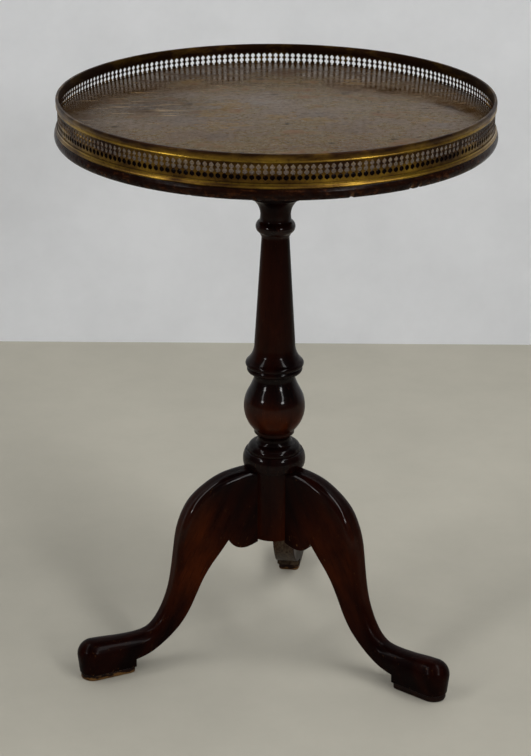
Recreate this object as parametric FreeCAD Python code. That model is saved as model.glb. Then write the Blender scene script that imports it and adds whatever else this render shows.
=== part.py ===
import FreeCAD
import Part
import math
import os

# A round tray-topped tea table: a mahogany top with a pierced brass gallery, carried on a turned
# pillar with three sawn cabriole legs. Millimetres, +Z up. The origin is on the floor under the
# pillar's axis, and +Y points along the rear leg.

Vector = FreeCAD.Vector
Z_AXIS = Vector(0, 0, 1)
ORIGIN = Vector(0, 0, 0)

# Overall sizes
top_diameter = 450.0
surface_height = 604.5
leg_height = 215.0
leg_names = ("rear", "front_left", "front_right")
rear_leg_azimuth = 90.0
cut_overrun = 20.0

# Table top: a solid board, rabbeted round its upper edge for the gallery
top_thickness = 24.0
rabbet_height = 12.5
rabbet_depth = 4.6
surface_edge_round = 1.2
edge_swell = 1.0
edge_lower_round = 3.0

# Gallery: a pierced brass strip between a cap rail and a base moulding
band_thickness = 0.9
band_height = 32.0
hole_count = 219
hole_height = 15.8
hole_foot = 7.2
hole_lobe_width = 4.3
hole_waist_width = 1.3
seam_land_share = 0.36
seam_slit = 0.4
seam_azimuth = 329.0
lobe_tip_shares = (0.0, 0.36, 0.67, 1.0)
lobe_widest_shares = (0.19, 0.51, 0.82)

solder_gap = 0.15

rail_height = 8.4
rail_wall = 0.7
rail_roof = 0.8
rail_bead_height = 4.6
rail_bead_swell = 0.6
rail_ridge_height = 1.6
rail_ridge_swell = 0.5

moulding_height = 4.8
moulding_foot_swell = 2.2
moulding_lip_height = 1.1
moulding_hollow_share = 0.33
moulding_ridge_height = 1.4
moulding_ridge_swell = 0.9

pin_count = 16
pin_head_diameter = 2.0
pin_head_height = 0.7
pin_crown_share = 0.5
pin_shank_diameter = 1.2
pin_length = 9.0
pin_height_in_band = 5.9

# Mounting plate under the top, with its screws
plate_diameter = 170.0
plate_thickness = 24.0
plate_bevel = 9.0
screw_count = 6
screw_circle_diameter = 124.0
screw_head_diameter = 8.4
screw_head_height = 3.6
screw_shank_diameter = 4.2
screw_length = 38.0
screw_slot_width = 1.1
screw_slot_depth = 1.3
screw_clearance = 0.2

# Pillar, from the foot of the drum to the tenon, as a turner's list of heights and diameters
drum_diameter = 56.0
drum_height = 81.0
base_ring_diameter = 67.6
base_ring_foot_diameter = 65.2
base_ring_top_diameter = 62.0
base_ring_height = 17.6
dome_foot_diameter = 57.4
dome_top_diameter = 42.4
dome_height = 8.8
neck_diameter = 40.2
neck_hollow_diameter = 34.8
neck_height = 11.6
collar_diameter = 43.4
collar_height = 4.0
ball_diameter = 65.8
ball_lower_height = 25.0
ball_upper_height = 33.7
ball_shoulder_diameter = 56.2
ball_shoulder_height = 20.0
ball_hollow_share = 0.66
ball_hollow_diameter = 47.6
waist_diameter = 44.2
waist_height = 7.6
ring_diameter = 62.0
ring_foot_diameter = 46.4
ring_top_diameter = 58.8
ring_height = 12.6
cove_height = 20.0
cove_hollow_share = 0.36
cove_hollow_diameter = 48.8
shaft_foot_diameter = 43.4
shaft_top_diameter = 29.2
fillet_diameter = 33.8
fillet_height = 5.0
bead_diameter = 41.6
bead_top_diameter = 33.0
bead_height = 13.2
throat_diameter = 31.8
throat_height = 6.0
lip_diameter = 64.0
lip_height = 4.0
cavetto_height = 21.0
cavetto_hollow_share = 0.62
cavetto_hollow_diameter = 40.6
capital_block_diameter = 54.0
capital_block_height = 26.0
capital_ovolo_height = 8.0
tenon_diameter = 32.0

# Wedge that spreads the tenon in the plate
wedge_length = 18.0
wedge_thick_end = 2.6
wedge_thin_end = 1.0

# Legs: sawn from a board, rounded along the back, with a sliding dovetail into the drum
leg_thickness = 26.0
leg_toe_center = 212.0
leg_saw_depth = 40.0
dovetail_root = 9.0
dovetail_tip = 14.0
dovetail_depth = 14.0
dovetail_stop = 12.0
dovetail_clearance = 0.1
bracket_drop = 3.5
bracket_lobe_reach = 12.5
bracket_lobe_drop = 7.5
cusp_reach = 30.0
cusp_rise = 5.5

# Each station of the leg's back: share of the reach to the toe's centre, share of the leg's height, lean
# from upright in degrees, depth as a share of the height, thickness as a share of the board's, rounding
# as a share of the half thickness, and width of the lower edge as a share of the thickness
leg_station_shares = (
    (0.068, 1.010, 0.0, 0.43, 1.00, 0.62, 1.0),
    (0.200, 1.000, 1.0, 0.43, 1.00, 0.64, 1.0),
    (0.311, 0.974, 6.0, 0.42, 1.00, 0.66, 1.0),
    (0.416, 0.912, 18.0, 0.38, 1.00, 0.66, 1.0),
    (0.482, 0.838, 28.0, 0.355, 1.00, 0.64, 1.0),
    (0.525, 0.736, 39.0, 0.305, 0.98, 0.62, 1.0),
    (0.544, 0.629, 49.0, 0.265, 0.97, 0.60, 1.0),
    (0.564, 0.488, 60.0, 0.225, 0.94, 0.62, 1.0),
    (0.590, 0.381, 63.0, 0.20, 0.92, 0.68, 1.0),
    (0.631, 0.290, 55.0, 0.18, 0.91, 0.76, 1.0),
    (0.685, 0.222, 36.0, 0.18, 0.94, 0.84, 0.98),
    (0.756, 0.197, 13.0, 0.18, 1.06, 0.90, 0.92),
    (0.860, 0.196, 0.0, 0.18, 1.20, 0.94, 0.86),
    (0.935, 0.201, 0.0, 0.185, 1.28, 0.95, 0.86),
    (1.000, 0.204, 0.0, 0.19, 1.31, 0.96, 0.86),
)
# The sawn underside from the cusp to the heel, as shares of the same reach and height
leg_underside_shares = (
    (0.321, 0.586),
    (0.404, 0.472),
    (0.477, 0.321),
    (0.551, 0.211),
    (0.641, 0.135),
    (0.719, 0.094),
)
heel_height = 16.2

# Foot pads: thin shoes glued under the feet
pad_thickness = 7.0
pad_toe_radius = 10.5
pad_toe_center = 215.5
pad_heel_radius = 9.5
pad_heel_center = 176.5
pad_bevel = 1.2

# Places that follow from the sizes above
top_radius = top_diameter / 2
rabbet_radius = top_radius - rabbet_depth
underside_height = surface_height - top_thickness
ledge_height = surface_height - rabbet_height
band_outer_radius = rabbet_radius + band_thickness
band_top = ledge_height + band_height
shoulder_height = underside_height - plate_thickness
drum_foot = leg_height - drum_height
hole_pitch = 2 * math.pi / (hole_count + seam_land_share)
leg_azimuths = {
    name: rear_leg_azimuth + 360.0 * number / len(leg_names) for number, name in enumerate(leg_names)
}
screw_head_radius = screw_head_diameter / 2
screw_shank_radius = screw_shank_diameter / 2


def line(start, end):
    """A straight edge between two points."""
    return Part.LineSegment(start, end).toShape()


def arc(start, middle, end):
    """A round edge through three points."""
    return Part.Arc(start, middle, end).toShape()


def spline(points):
    """A smooth edge through the points."""
    curve = Part.BSplineCurve()
    curve.interpolate(points)
    return curve.toShape()


def polygon_edges(points):
    """Straight edges round a closed outline."""
    return [line(a, b) for a, b in zip(points, points[1:] + points[:1])]


def revolve(edges):
    """A solid turned about the Z axis from a closed profile in the XZ plane."""
    face = Part.Face(Part.Wire(edges))
    return face.revolve(ORIGIN, Z_AXIS, 360)


def turned(radius, height):
    """A profile point at a radius and a height."""
    return Vector(radius, 0, height)


def around(shape, azimuth):
    """A copy of a shape turned about the pillar's axis, in degrees."""
    copy = shape.copy()
    copy.rotate(ORIGIN, Z_AXIS, azimuth)
    return copy


def even_azimuths(count):
    """Azimuths of a ring of like pieces, in degrees."""
    return [360.0 * i / count for i in range(count)]


def screw_places():
    """Where the plate's screws enter, on the underside of the plate."""
    spot = Vector(screw_circle_diameter / 2, 0, shoulder_height)
    return [FreeCAD.Rotation(Z_AXIS, a).multVec(spot) for a in even_azimuths(screw_count)]


def pinned_cells():
    """Numbers of the gallery's cells that hold a pin, spread evenly round the strip."""
    return [round((i + 1 / 2) * hole_count / pin_count) for i in range(pin_count)]


def cell_azimuth(number):
    """Azimuth of the middle of a cell, in degrees, counted from the seam."""
    half_land = seam_land_share / 2
    return seam_azimuth + math.degrees(hole_pitch * (number + half_land + 1 / 2))


def screw_cutter(clearance):
    """The space that one plate screw needs, on the Z axis with its head at the floor."""
    head = Part.makeCone(
        screw_head_radius, screw_shank_radius + clearance, screw_head_height
    )
    shank = Part.makeCylinder(screw_shank_radius + clearance, screw_length)
    return head.fuse(shank)


def table_top():
    """The board: a thumb edge below the ledge, a rabbet above it, pilot holes for pins and screws."""
    lower_edge = top_radius - edge_lower_round
    edge_top = top_radius - edge_swell
    edge_middle = (ledge_height + underside_height) / 2
    surface_edge = rabbet_radius - surface_edge_round
    edges = [
        line(turned(0, underside_height), turned(lower_edge, underside_height)),
        arc(
            turned(lower_edge, underside_height),
            turned(top_radius, edge_middle),
            turned(edge_top, ledge_height),
        ),
        line(turned(edge_top, ledge_height), turned(rabbet_radius, ledge_height)),
        line(
            turned(rabbet_radius, ledge_height),
            turned(rabbet_radius, surface_height - surface_edge_round),
        ),
        line(
            turned(rabbet_radius, surface_height - surface_edge_round),
            turned(surface_edge, surface_height),
        ),
        line(turned(surface_edge, surface_height), turned(0, surface_height)),
        line(turned(0, surface_height), turned(0, underside_height)),
    ]
    board = revolve(edges)
    holes = [around(pin_hole(), cell_azimuth(n)) for n in pinned_cells()]
    for place in screw_places():
        hole = Part.makeCylinder(screw_shank_radius, screw_length, place)
        holes.append(hole)
    return board.cut(holes)


def pin_hole():
    """The bore of one gallery pin, along +X."""
    height = ledge_height + pin_height_in_band
    start = Vector(band_outer_radius - pin_length, 0, height)
    return Part.makeCylinder(
        pin_shank_diameter / 2, pin_length + cut_overrun, start, Vector(1, 0, 0)
    )


def hole_outline():
    """Half outline of one piercing as (half width, height): three pointed lobes joined by waists."""
    foot = ledge_height + hole_foot
    side = []
    for number, share in enumerate(lobe_tip_shares):
        at_end = number in (0, len(lobe_tip_shares) - 1)
        half_width = 0 if at_end else hole_waist_width / 2
        side.append((half_width, foot + share * hole_height))
        if number < len(lobe_widest_shares):
            widest = lobe_widest_shares[number]
            side.append((hole_lobe_width / 2, foot + widest * hole_height))
    return side


def pierced_cell(with_pin):
    """One cell of the strip, centred on +X, with its piercing and any pin hole."""
    turn = math.degrees(hole_pitch)
    cell = band_sector(turn)
    side = hole_outline()
    right = [Vector(rabbet_radius - cut_overrun, w, h) for w, h in side]
    left = [Vector(rabbet_radius - cut_overrun, -w, h) for w, h in side[-2:0:-1]]
    face = Part.Face(Part.Wire(polygon_edges(right + left)))
    tools = [face.extrude(Vector(2 * cut_overrun, 0, 0))]
    if with_pin:
        tools.append(pin_hole())
    return cell.cut(tools)


def band_sector(turn):
    """A plain sector of the strip, centred on +X, of the given angle in degrees. Its two faces are flat:
    over one narrow cell they leave the true round by far less than the strip's thickness."""
    half = math.radians(turn / 2)
    inner = rabbet_radius / math.cos(hole_pitch / 2)
    rim = [(inner, -half), (band_outer_radius, -half), (band_outer_radius, half), (inner, half)]
    corners = [Vector(r * math.cos(a), r * math.sin(a), ledge_height) for r, a in rim]
    face = Part.Face(Part.Wire(polygon_edges(corners)))
    return face.extrude(Vector(0, 0, band_height))


def is_cell_side(face, turn):
    """True for the flat faces where one cell meets the next."""
    middle = face.CenterOfMass
    azimuth = math.degrees(math.atan2(middle.y, middle.x))
    share_of_half = abs(azimuth) / (turn / 2)
    return isinstance(face.Surface, Part.Plane) and math.isclose(share_of_half, 1, rel_tol=1e-6)


def gallery_pierced_band():
    """The pierced strip, bent to a ring and cut across at the seam, where the land is wider."""
    turn = math.degrees(hole_pitch)
    pinned = pinned_cells()
    plain_faces = [f for f in pierced_cell(False).Faces if not is_cell_side(f, turn)]
    pinned_faces = [f for f in pierced_cell(True).Faces if not is_cell_side(f, turn)]
    faces = []
    for number in range(hole_count):
        source = pinned_faces if number in pinned else plain_faces
        faces += [around(f, cell_azimuth(number)) for f in source]
    slit_turn = math.degrees(seam_slit / band_outer_radius)
    land_turn = (seam_land_share * turn - slit_turn) / 2
    for side in (-1, 1):
        land = around(band_sector(land_turn), seam_azimuth + side * (slit_turn + land_turn) / 2)
        inner_side = seam_azimuth + side * (slit_turn / 2 + land_turn)
        for face in land.Faces:
            middle = face.CenterOfMass
            azimuth = math.degrees(math.atan2(middle.y, middle.x)) % 360
            if not math.isclose(azimuth, inner_side % 360, rel_tol=1e-7):
                faces.append(face)
    strip = Part.makeCompound(faces)
    strip.sewShape()
    return Part.Solid(strip.Shells[0])


def gallery_cap_rail():
    """A channel over the strip's upper edge: a bead at the rim, a hollow and a ridge above the holes."""
    groove = band_outer_radius + solder_gap
    outer = groove + rail_wall
    inner = rabbet_radius - rail_wall
    top = band_top + rail_roof
    foot = top - rail_height
    bead_foot = top - rail_bead_height
    bead_middle = (top + bead_foot) / 2
    ridge_top = foot + rail_ridge_height
    edges = [
        line(turned(groove, foot), turned(outer, foot)),
        arc(
            turned(outer, foot),
            turned(outer + rail_ridge_swell, (foot + ridge_top) / 2),
            turned(outer, ridge_top),
        ),
        line(turned(outer, ridge_top), turned(outer, bead_foot)),
        arc(
            turned(outer, bead_foot),
            turned(outer + rail_bead_swell, bead_middle),
            turned(outer, top),
        ),
        line(turned(outer, top), turned(inner, top)),
        line(turned(inner, top), turned(inner, foot)),
        line(turned(inner, foot), turned(rabbet_radius, foot)),
        line(turned(rabbet_radius, foot), turned(rabbet_radius, band_top)),
        line(turned(rabbet_radius, band_top), turned(groove, band_top)),
        line(turned(groove, band_top), turned(groove, foot)),
    ]
    return revolve(edges)


def gallery_base_moulding():
    """The flared brass foot outside the strip, standing on the ledge: a ridge over a hollow flare."""
    back = band_outer_radius + solder_gap
    ridge_top = ledge_height + moulding_height
    ridge_foot = ridge_top - moulding_ridge_height
    ridge = back + moulding_ridge_swell
    flare = back + moulding_foot_swell
    lip_top = ledge_height + moulding_lip_height
    hollow = ridge + moulding_hollow_share * (flare - ridge)
    edges = [
        line(turned(back, ledge_height), turned(flare, ledge_height)),
        line(turned(flare, ledge_height), turned(flare, lip_top)),
        arc(
            turned(flare, lip_top),
            turned(hollow, (lip_top + ridge_foot) / 2),
            turned(ridge, ridge_foot),
        ),
        line(turned(ridge, ridge_foot), turned(ridge, ridge_top)),
        line(turned(ridge, ridge_top), turned(back, ridge_top)),
        line(turned(back, ridge_top), turned(back, ledge_height)),
    ]
    return revolve(edges)


def gallery_pins():
    """Round-headed brass pins that nail the strip to the edge of the board."""
    height = ledge_height + pin_height_in_band
    head_radius = pin_head_diameter / 2
    shank_radius = pin_shank_diameter / 2
    crown = head_radius * pin_crown_share
    profile = [
        line(Vector(-pin_length, 0, 0), Vector(-pin_length, shank_radius, 0)),
        line(Vector(-pin_length, shank_radius, 0), Vector(0, shank_radius, 0)),
        line(Vector(0, shank_radius, 0), Vector(0, head_radius, 0)),
        line(Vector(0, head_radius, 0), Vector(pin_head_height, crown, 0)),
        line(Vector(pin_head_height, crown, 0), Vector(pin_head_height, 0, 0)),
        line(Vector(pin_head_height, 0, 0), Vector(-pin_length, 0, 0)),
    ]
    pin = Part.Face(Part.Wire(profile)).revolve(ORIGIN, Vector(1, 0, 0), 360)
    pin.translate(Vector(band_outer_radius, 0, height))
    return Part.makeCompound([around(pin, cell_azimuth(n)) for n in pinned_cells()])


def mounting_plate():
    """A round hardwood plate, bevelled below, bored for the tenon and countersunk for its screws."""
    radius = plate_diameter / 2
    bore = tenon_diameter / 2
    edges = [
        line(turned(bore, shoulder_height), turned(radius - plate_bevel, shoulder_height)),
        line(
            turned(radius - plate_bevel, shoulder_height),
            turned(radius, shoulder_height + plate_bevel),
        ),
        line(turned(radius, shoulder_height + plate_bevel), turned(radius, underside_height)),
        line(turned(radius, underside_height), turned(bore, underside_height)),
        line(turned(bore, underside_height), turned(bore, shoulder_height)),
    ]
    holes = []
    for place in screw_places():
        hole = screw_cutter(screw_clearance)
        hole.translate(place)
        holes.append(hole)
    return revolve(edges).cut(holes)


def plate_screws():
    """Slotted countersunk screws, up through the plate into the board."""
    screw = screw_cutter(0)
    slot = Part.makeBox(screw_head_diameter, screw_slot_width, screw_slot_depth)
    slot.translate(Vector(-screw_head_radius, -screw_slot_width / 2, 0))
    screw = screw.cut(slot)
    screws = []
    for place in screw_places():
        copy = screw.copy()
        copy.translate(place)
        screws.append(copy)
    return Part.makeCompound(screws)


def pillar_profile():
    """Closed profile of the turned pillar. The shaft takes up whatever height the rest leaves."""
    ring_foot = leg_height
    dome_foot = ring_foot + base_ring_height
    neck_foot = dome_foot + dome_height
    collar_foot = neck_foot + neck_height
    ball_foot = collar_foot + collar_height
    ball_middle = ball_foot + ball_lower_height
    ball_shoulder = ball_middle + ball_shoulder_height
    ball_top = ball_middle + ball_upper_height
    ring_low = ball_top + waist_height
    cove_foot = ring_low + ring_height
    shaft_foot = cove_foot + cove_height
    block_foot = shoulder_height - capital_block_height
    lip_top = block_foot - capital_ovolo_height
    lip_foot = lip_top - lip_height
    throat_top = lip_foot - cavetto_height
    throat_foot = throat_top - throat_height
    bead_foot = throat_foot - bead_height
    shaft_top = bead_foot - fillet_height
    return [
        line(turned(0, drum_foot), turned(drum_diameter / 2, drum_foot)),
        line(turned(drum_diameter / 2, drum_foot), turned(drum_diameter / 2, ring_foot)),
        line(turned(drum_diameter / 2, ring_foot), turned(base_ring_foot_diameter / 2, ring_foot)),
        arc(
            turned(base_ring_foot_diameter / 2, ring_foot),
            turned(base_ring_diameter / 2, ring_foot + base_ring_height / 2),
            turned(base_ring_top_diameter / 2, dome_foot),
        ),
        line(turned(base_ring_top_diameter / 2, dome_foot), turned(dome_foot_diameter / 2, dome_foot)),
        quarter_swell(dome_foot_diameter / 2, dome_foot, dome_top_diameter / 2, neck_foot),
        line(turned(dome_top_diameter / 2, neck_foot), turned(neck_diameter / 2, neck_foot)),
        arc(
            turned(neck_diameter / 2, neck_foot),
            turned(neck_hollow_diameter / 2, (neck_foot + collar_foot) / 2),
            turned(collar_diameter / 2, collar_foot),
        ),
        line(turned(collar_diameter / 2, collar_foot), turned(collar_diameter / 2, ball_foot)),
        arc(
            turned(collar_diameter / 2, ball_foot),
            turned(ball_diameter / 2, ball_middle),
            turned(ball_shoulder_diameter / 2, ball_shoulder),
        ),
        arc(
            turned(ball_shoulder_diameter / 2, ball_shoulder),
            turned(
                ball_hollow_diameter / 2,
                ball_shoulder + ball_hollow_share * (ball_top - ball_shoulder),
            ),
            turned(waist_diameter / 2, ball_top),
        ),
        line(turned(waist_diameter / 2, ball_top), turned(waist_diameter / 2, ring_low)),
        line(turned(waist_diameter / 2, ring_low), turned(ring_foot_diameter / 2, ring_low)),
        arc(
            turned(ring_foot_diameter / 2, ring_low),
            turned(ring_diameter / 2, (ring_low + cove_foot) / 2),
            turned(ring_top_diameter / 2, cove_foot),
        ),
        arc(
            turned(ring_top_diameter / 2, cove_foot),
            turned(cove_hollow_diameter / 2, cove_foot + cove_hollow_share * cove_height),
            turned(shaft_foot_diameter / 2, shaft_foot),
        ),
        line(turned(shaft_foot_diameter / 2, shaft_foot), turned(shaft_top_diameter / 2, shaft_top)),
        line(turned(shaft_top_diameter / 2, shaft_top), turned(fillet_diameter / 2, bead_foot)),
        arc(
            turned(fillet_diameter / 2, bead_foot),
            turned(bead_diameter / 2, (bead_foot + throat_foot) / 2),
            turned(bead_top_diameter / 2, throat_foot),
        ),
        line(turned(bead_top_diameter / 2, throat_foot), turned(throat_diameter / 2, throat_top)),
        arc(
            turned(throat_diameter / 2, throat_top),
            turned(cavetto_hollow_diameter / 2, throat_top + cavetto_hollow_share * cavetto_height),
            turned(lip_diameter / 2, lip_foot),
        ),
        line(turned(lip_diameter / 2, lip_foot), turned(lip_diameter / 2, lip_top)),
        quarter_swell(lip_diameter / 2, lip_top, capital_block_diameter / 2, block_foot),
        line(
            turned(capital_block_diameter / 2, block_foot),
            turned(capital_block_diameter / 2, shoulder_height),
        ),
        line(
            turned(capital_block_diameter / 2, shoulder_height),
            turned(tenon_diameter / 2, shoulder_height),
        ),
        line(turned(tenon_diameter / 2, shoulder_height), turned(tenon_diameter / 2, underside_height)),
        line(turned(tenon_diameter / 2, underside_height), turned(0, underside_height)),
        line(turned(0, underside_height), turned(0, drum_foot)),
    ]


def quarter_swell(low_radius, low, high_radius, high):
    """A convex quarter curve that leaves its foot upright and comes in level at its top."""
    bulge = math.sqrt(1 / 2)
    middle = turned(
        high_radius + bulge * (low_radius - high_radius), low + bulge * (high - low)
    )
    return arc(turned(low_radius, low), middle, turned(high_radius, high))


def wedge_prism():
    """The tapered wedge before it is trimmed to the tenon, thick end flush with the tenon's top."""
    half_length = tenon_diameter
    corners = [
        Vector(-half_length, -wedge_thick_end / 2, underside_height),
        Vector(-half_length, wedge_thick_end / 2, underside_height),
        Vector(-half_length, wedge_thin_end / 2, underside_height - wedge_length),
        Vector(-half_length, -wedge_thin_end / 2, underside_height - wedge_length),
    ]
    face = Part.Face(Part.Wire(polygon_edges(corners)))
    return face.extrude(Vector(2 * half_length, 0, 0))


def dovetail(extra):
    """A leg's dovetail along +X, from the drum's foot to its stop, grown on each side by extra."""
    joint = drum_diameter / 2
    tip = joint - dovetail_depth - extra
    root_half = dovetail_root / 2 + extra
    tip_half = dovetail_tip / 2 + extra
    seat = math.sqrt(joint**2 - root_half**2)
    outer = joint + cusp_reach / 2
    side = [(tip, tip_half), (seat, root_half), (outer, root_half)]
    corners = [Vector(x, y, drum_foot) for x, y in side]
    corners += [Vector(x, -y, drum_foot) for x, y in reversed(side)]
    face = Part.Face(Part.Wire(polygon_edges(corners)))
    return face.extrude(Vector(0, 0, drum_height - dovetail_stop + extra))


def pillar():
    """The turned pillar, with dovetail housings up from its foot and a kerf across its tenon."""
    solid = revolve(pillar_profile())
    tools = [around(dovetail(dovetail_clearance), a) for a in leg_azimuths.values()]
    tools.append(wedge_prism())
    return solid.cut(tools)


def tenon_wedge():
    """The wedge in the tenon's kerf, trimmed flush with the tenon."""
    tenon = Part.makeCylinder(
        tenon_diameter / 2, plate_thickness, Vector(0, 0, shoulder_height)
    )
    return wedge_prism().common(tenon)


def station_wire(shares):
    """One cross-section of the leg: flat below, straight sides, rounded along the back."""
    reach, rise, lean, depth, width, rounding, tuck = shares
    back = Vector(reach * leg_toe_center, 0, rise * leg_height)
    tilt = math.radians(lean)
    down = Vector(-math.sin(tilt), 0, -math.cos(tilt))
    half = width * leg_thickness / 2
    corner = rounding * half
    diagonal = corner * (1 - math.sqrt(1 / 2))
    low_half = half * tuck

    def at(across, below):
        return back + down * below + Vector(0, across, 0)

    low = depth * leg_height
    edges = [
        line(at(-low_half, low), at(low_half, low)),
        line(at(low_half, low), at(half, corner)),
        arc(at(half, corner), at(half - diagonal, diagonal), at(half - corner, 0)),
        line(at(half - corner, 0), at(corner - half, 0)),
        arc(at(corner - half, 0), at(diagonal - half, diagonal), at(-half, corner)),
        line(at(-half, corner), at(-low_half, low)),
    ]
    return Part.Wire(edges)


def toe():
    """The rounded toe: the last station's half outline turned about its own upright middle."""
    reach, rise, lean, depth, width, rounding, tuck = leg_station_shares[-1]
    top = rise * leg_height
    low = top - depth * leg_height
    half = width * leg_thickness / 2
    corner = rounding * half
    diagonal = corner * (1 - math.sqrt(1 / 2))
    low_half = half * tuck
    center = Vector(reach * leg_toe_center, 0, 0)

    def at(across, height):
        return center + Vector(0, -across, height)

    edges = [
        line(at(0, low), at(low_half, low)),
        line(at(low_half, low), at(half, top - corner)),
        arc(at(half, top - corner), at(half - diagonal, top - diagonal), at(half - corner, top)),
        line(at(half - corner, top), at(0, top)),
        line(at(0, top), at(0, low)),
    ]
    face = Part.Face(Part.Wire(edges))
    return face.revolve(center, Z_AXIS, 180)


def saw_cut():
    """Everything the saw takes off below the leg: bracket lobe, cusp, underside and foot line."""
    joint = drum_diameter / 2
    bracket = drum_foot - bracket_drop
    cusp = Vector(joint + cusp_reach, 0, drum_foot + cusp_rise)
    underside = [
        Vector(reach * leg_toe_center, 0, rise * leg_height)
        for reach, rise in leg_underside_shares
    ]
    heel_reach = pad_heel_center - pad_heel_radius
    heel = Vector(heel_reach, 0, heel_height)
    far = leg_toe_center + 2 * leg_thickness
    edges = [
        line(Vector(0, 0, bracket), Vector(joint, 0, bracket)),
        arc(
            Vector(joint, 0, bracket),
            Vector(joint + bracket_lobe_reach, 0, drum_foot - bracket_lobe_drop),
            cusp,
        ),
        spline([cusp] + underside + [heel]),
        line(heel, Vector(heel_reach, 0, pad_thickness)),
        line(Vector(heel_reach, 0, pad_thickness), Vector(far, 0, pad_thickness)),
        line(Vector(far, 0, pad_thickness), Vector(far, 0, -cut_overrun)),
        line(Vector(far, 0, -cut_overrun), Vector(0, 0, -cut_overrun)),
        line(Vector(0, 0, -cut_overrun), Vector(0, 0, bracket)),
    ]
    face = Part.Face(Part.Wire(edges))
    face.translate(Vector(0, -leg_saw_depth, 0))
    return face.extrude(Vector(0, 2 * leg_saw_depth, 0))


def leg():
    """One leg along +X: lofted along its back, sawn below, coped to the drum, with its dovetail."""
    limb = Part.makeLoft([station_wire(s) for s in leg_station_shares], True, False)
    limb = limb.fuse(toe())
    drum = Part.makeCylinder(
        drum_diameter / 2, leg_height + 2 * cut_overrun, Vector(0, 0, -cut_overrun)
    )
    limb = limb.cut([saw_cut(), drum, under_ring_space()])
    return limb.fuse(dovetail(0)).removeSplitter()


def under_ring_space():
    """Space above the legs' tops inside the base ring, which the leg must not enter."""
    return Part.makeCylinder(
        base_ring_diameter / 2, cut_overrun, Vector(0, 0, leg_height)
    )


def foot_pad():
    """One shoe along +X: a tapered oval with a small bevel round its sole."""
    spread = pad_toe_center - pad_heel_center
    lean = math.asin((pad_toe_radius - pad_heel_radius) / spread)
    toe_middle = Vector(pad_toe_center, 0, 0)
    heel_middle = Vector(pad_heel_center, 0, 0)

    def rim(middle, radius, turn):
        return middle + Vector(radius * math.cos(turn), radius * math.sin(turn), 0)

    side = math.pi / 2 + lean
    outline = [
        arc(
            rim(toe_middle, pad_toe_radius, -side),
            rim(toe_middle, pad_toe_radius, 0),
            rim(toe_middle, pad_toe_radius, side),
        ),
        line(rim(toe_middle, pad_toe_radius, side), rim(heel_middle, pad_heel_radius, side)),
        arc(
            rim(heel_middle, pad_heel_radius, side),
            rim(heel_middle, pad_heel_radius, math.pi),
            rim(heel_middle, pad_heel_radius, -side),
        ),
        line(rim(heel_middle, pad_heel_radius, -side), rim(toe_middle, pad_toe_radius, -side)),
    ]
    sole = Part.Face(Part.Wire(outline)).extrude(Vector(0, 0, pad_thickness))
    bottom = [e for e in sole.Edges if math.isclose(e.BoundBox.ZMax, 0, abs_tol=pad_bevel / 2)]
    return sole.makeChamfer(pad_bevel, bottom)


def build():
    """Every piece by name, in place."""
    pieces = {
        "table_top": table_top(),
        "gallery_pierced_band": gallery_pierced_band(),
        "gallery_cap_rail": gallery_cap_rail(),
        "gallery_base_moulding": gallery_base_moulding(),
        "gallery_pins": gallery_pins(),
        "mounting_plate": mounting_plate(),
        "plate_screws": plate_screws(),
        "pillar": pillar(),
        "tenon_wedge": tenon_wedge(),
    }
    one_leg = leg()
    one_pad = foot_pad()
    for name, azimuth in leg_azimuths.items():
        pieces["leg_" + name] = around(one_leg, azimuth)
        pieces["foot_pad_" + name] = around(one_pad, azimuth)
    return pieces


os.makedirs("parts", exist_ok=True)
for node, shape in build().items():
    shape.exportStep(os.path.join("parts", node + ".step"))
    state = "valid" if shape.isValid() else "INVALID"
    print(node, len(shape.Solids), "solids", state, round(shape.Volume, 1))
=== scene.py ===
"""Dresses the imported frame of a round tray-topped tea table: a mahogany board with a pierced brass
gallery on a turned pillar and three cabriole legs. Metres, +Z up, in the frame's own place."""
import functools
import math

import bmesh
import bpy
import numpy as np
from mathutils import Matrix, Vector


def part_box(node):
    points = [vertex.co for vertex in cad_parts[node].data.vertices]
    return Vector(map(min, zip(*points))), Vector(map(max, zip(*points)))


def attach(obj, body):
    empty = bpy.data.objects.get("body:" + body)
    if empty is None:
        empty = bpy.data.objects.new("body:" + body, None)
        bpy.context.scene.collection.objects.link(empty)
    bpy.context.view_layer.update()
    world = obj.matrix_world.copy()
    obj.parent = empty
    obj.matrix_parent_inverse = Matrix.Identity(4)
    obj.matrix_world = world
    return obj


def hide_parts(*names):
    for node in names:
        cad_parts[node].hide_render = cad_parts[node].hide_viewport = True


bl_info = {
    "name": "Tray Top Tea Table",
    "version": (1, 0, 0),
    "blender": (4, 5, 0),
    "location": "3D View > Sidebar > Tea Table",
    "description": "Builds a round tea table with a pierced brass gallery on its packed frame",
    "category": "Add Mesh",
}

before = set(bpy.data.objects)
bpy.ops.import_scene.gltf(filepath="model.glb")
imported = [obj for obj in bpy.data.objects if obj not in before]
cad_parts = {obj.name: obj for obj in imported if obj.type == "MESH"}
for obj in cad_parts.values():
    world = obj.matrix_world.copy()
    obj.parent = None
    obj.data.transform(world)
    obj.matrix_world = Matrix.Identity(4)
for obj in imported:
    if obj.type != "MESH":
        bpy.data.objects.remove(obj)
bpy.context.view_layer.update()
MM = 0.001

BOARD_LOW, BOARD_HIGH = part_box("table_top")
BAND_LOW, BAND_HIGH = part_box("gallery_pierced_band")
RAIL_LOW, RAIL_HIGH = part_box("gallery_cap_rail")
MOULDING_LOW, MOULDING_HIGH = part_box("gallery_base_moulding")
DRUM_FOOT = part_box("pillar")[0].z
PAD_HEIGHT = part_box("foot_pad_rear")[1].z

# The legs: azimuth in degrees, and how far the stain is rubbed off the leg and off its pad.
LEGS = {"front_left": (210.0, 1.0, -0.03), "front_right": (330.0, 0.72, -0.22), "rear": (90.0, 1.0, -0.06)}

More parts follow.
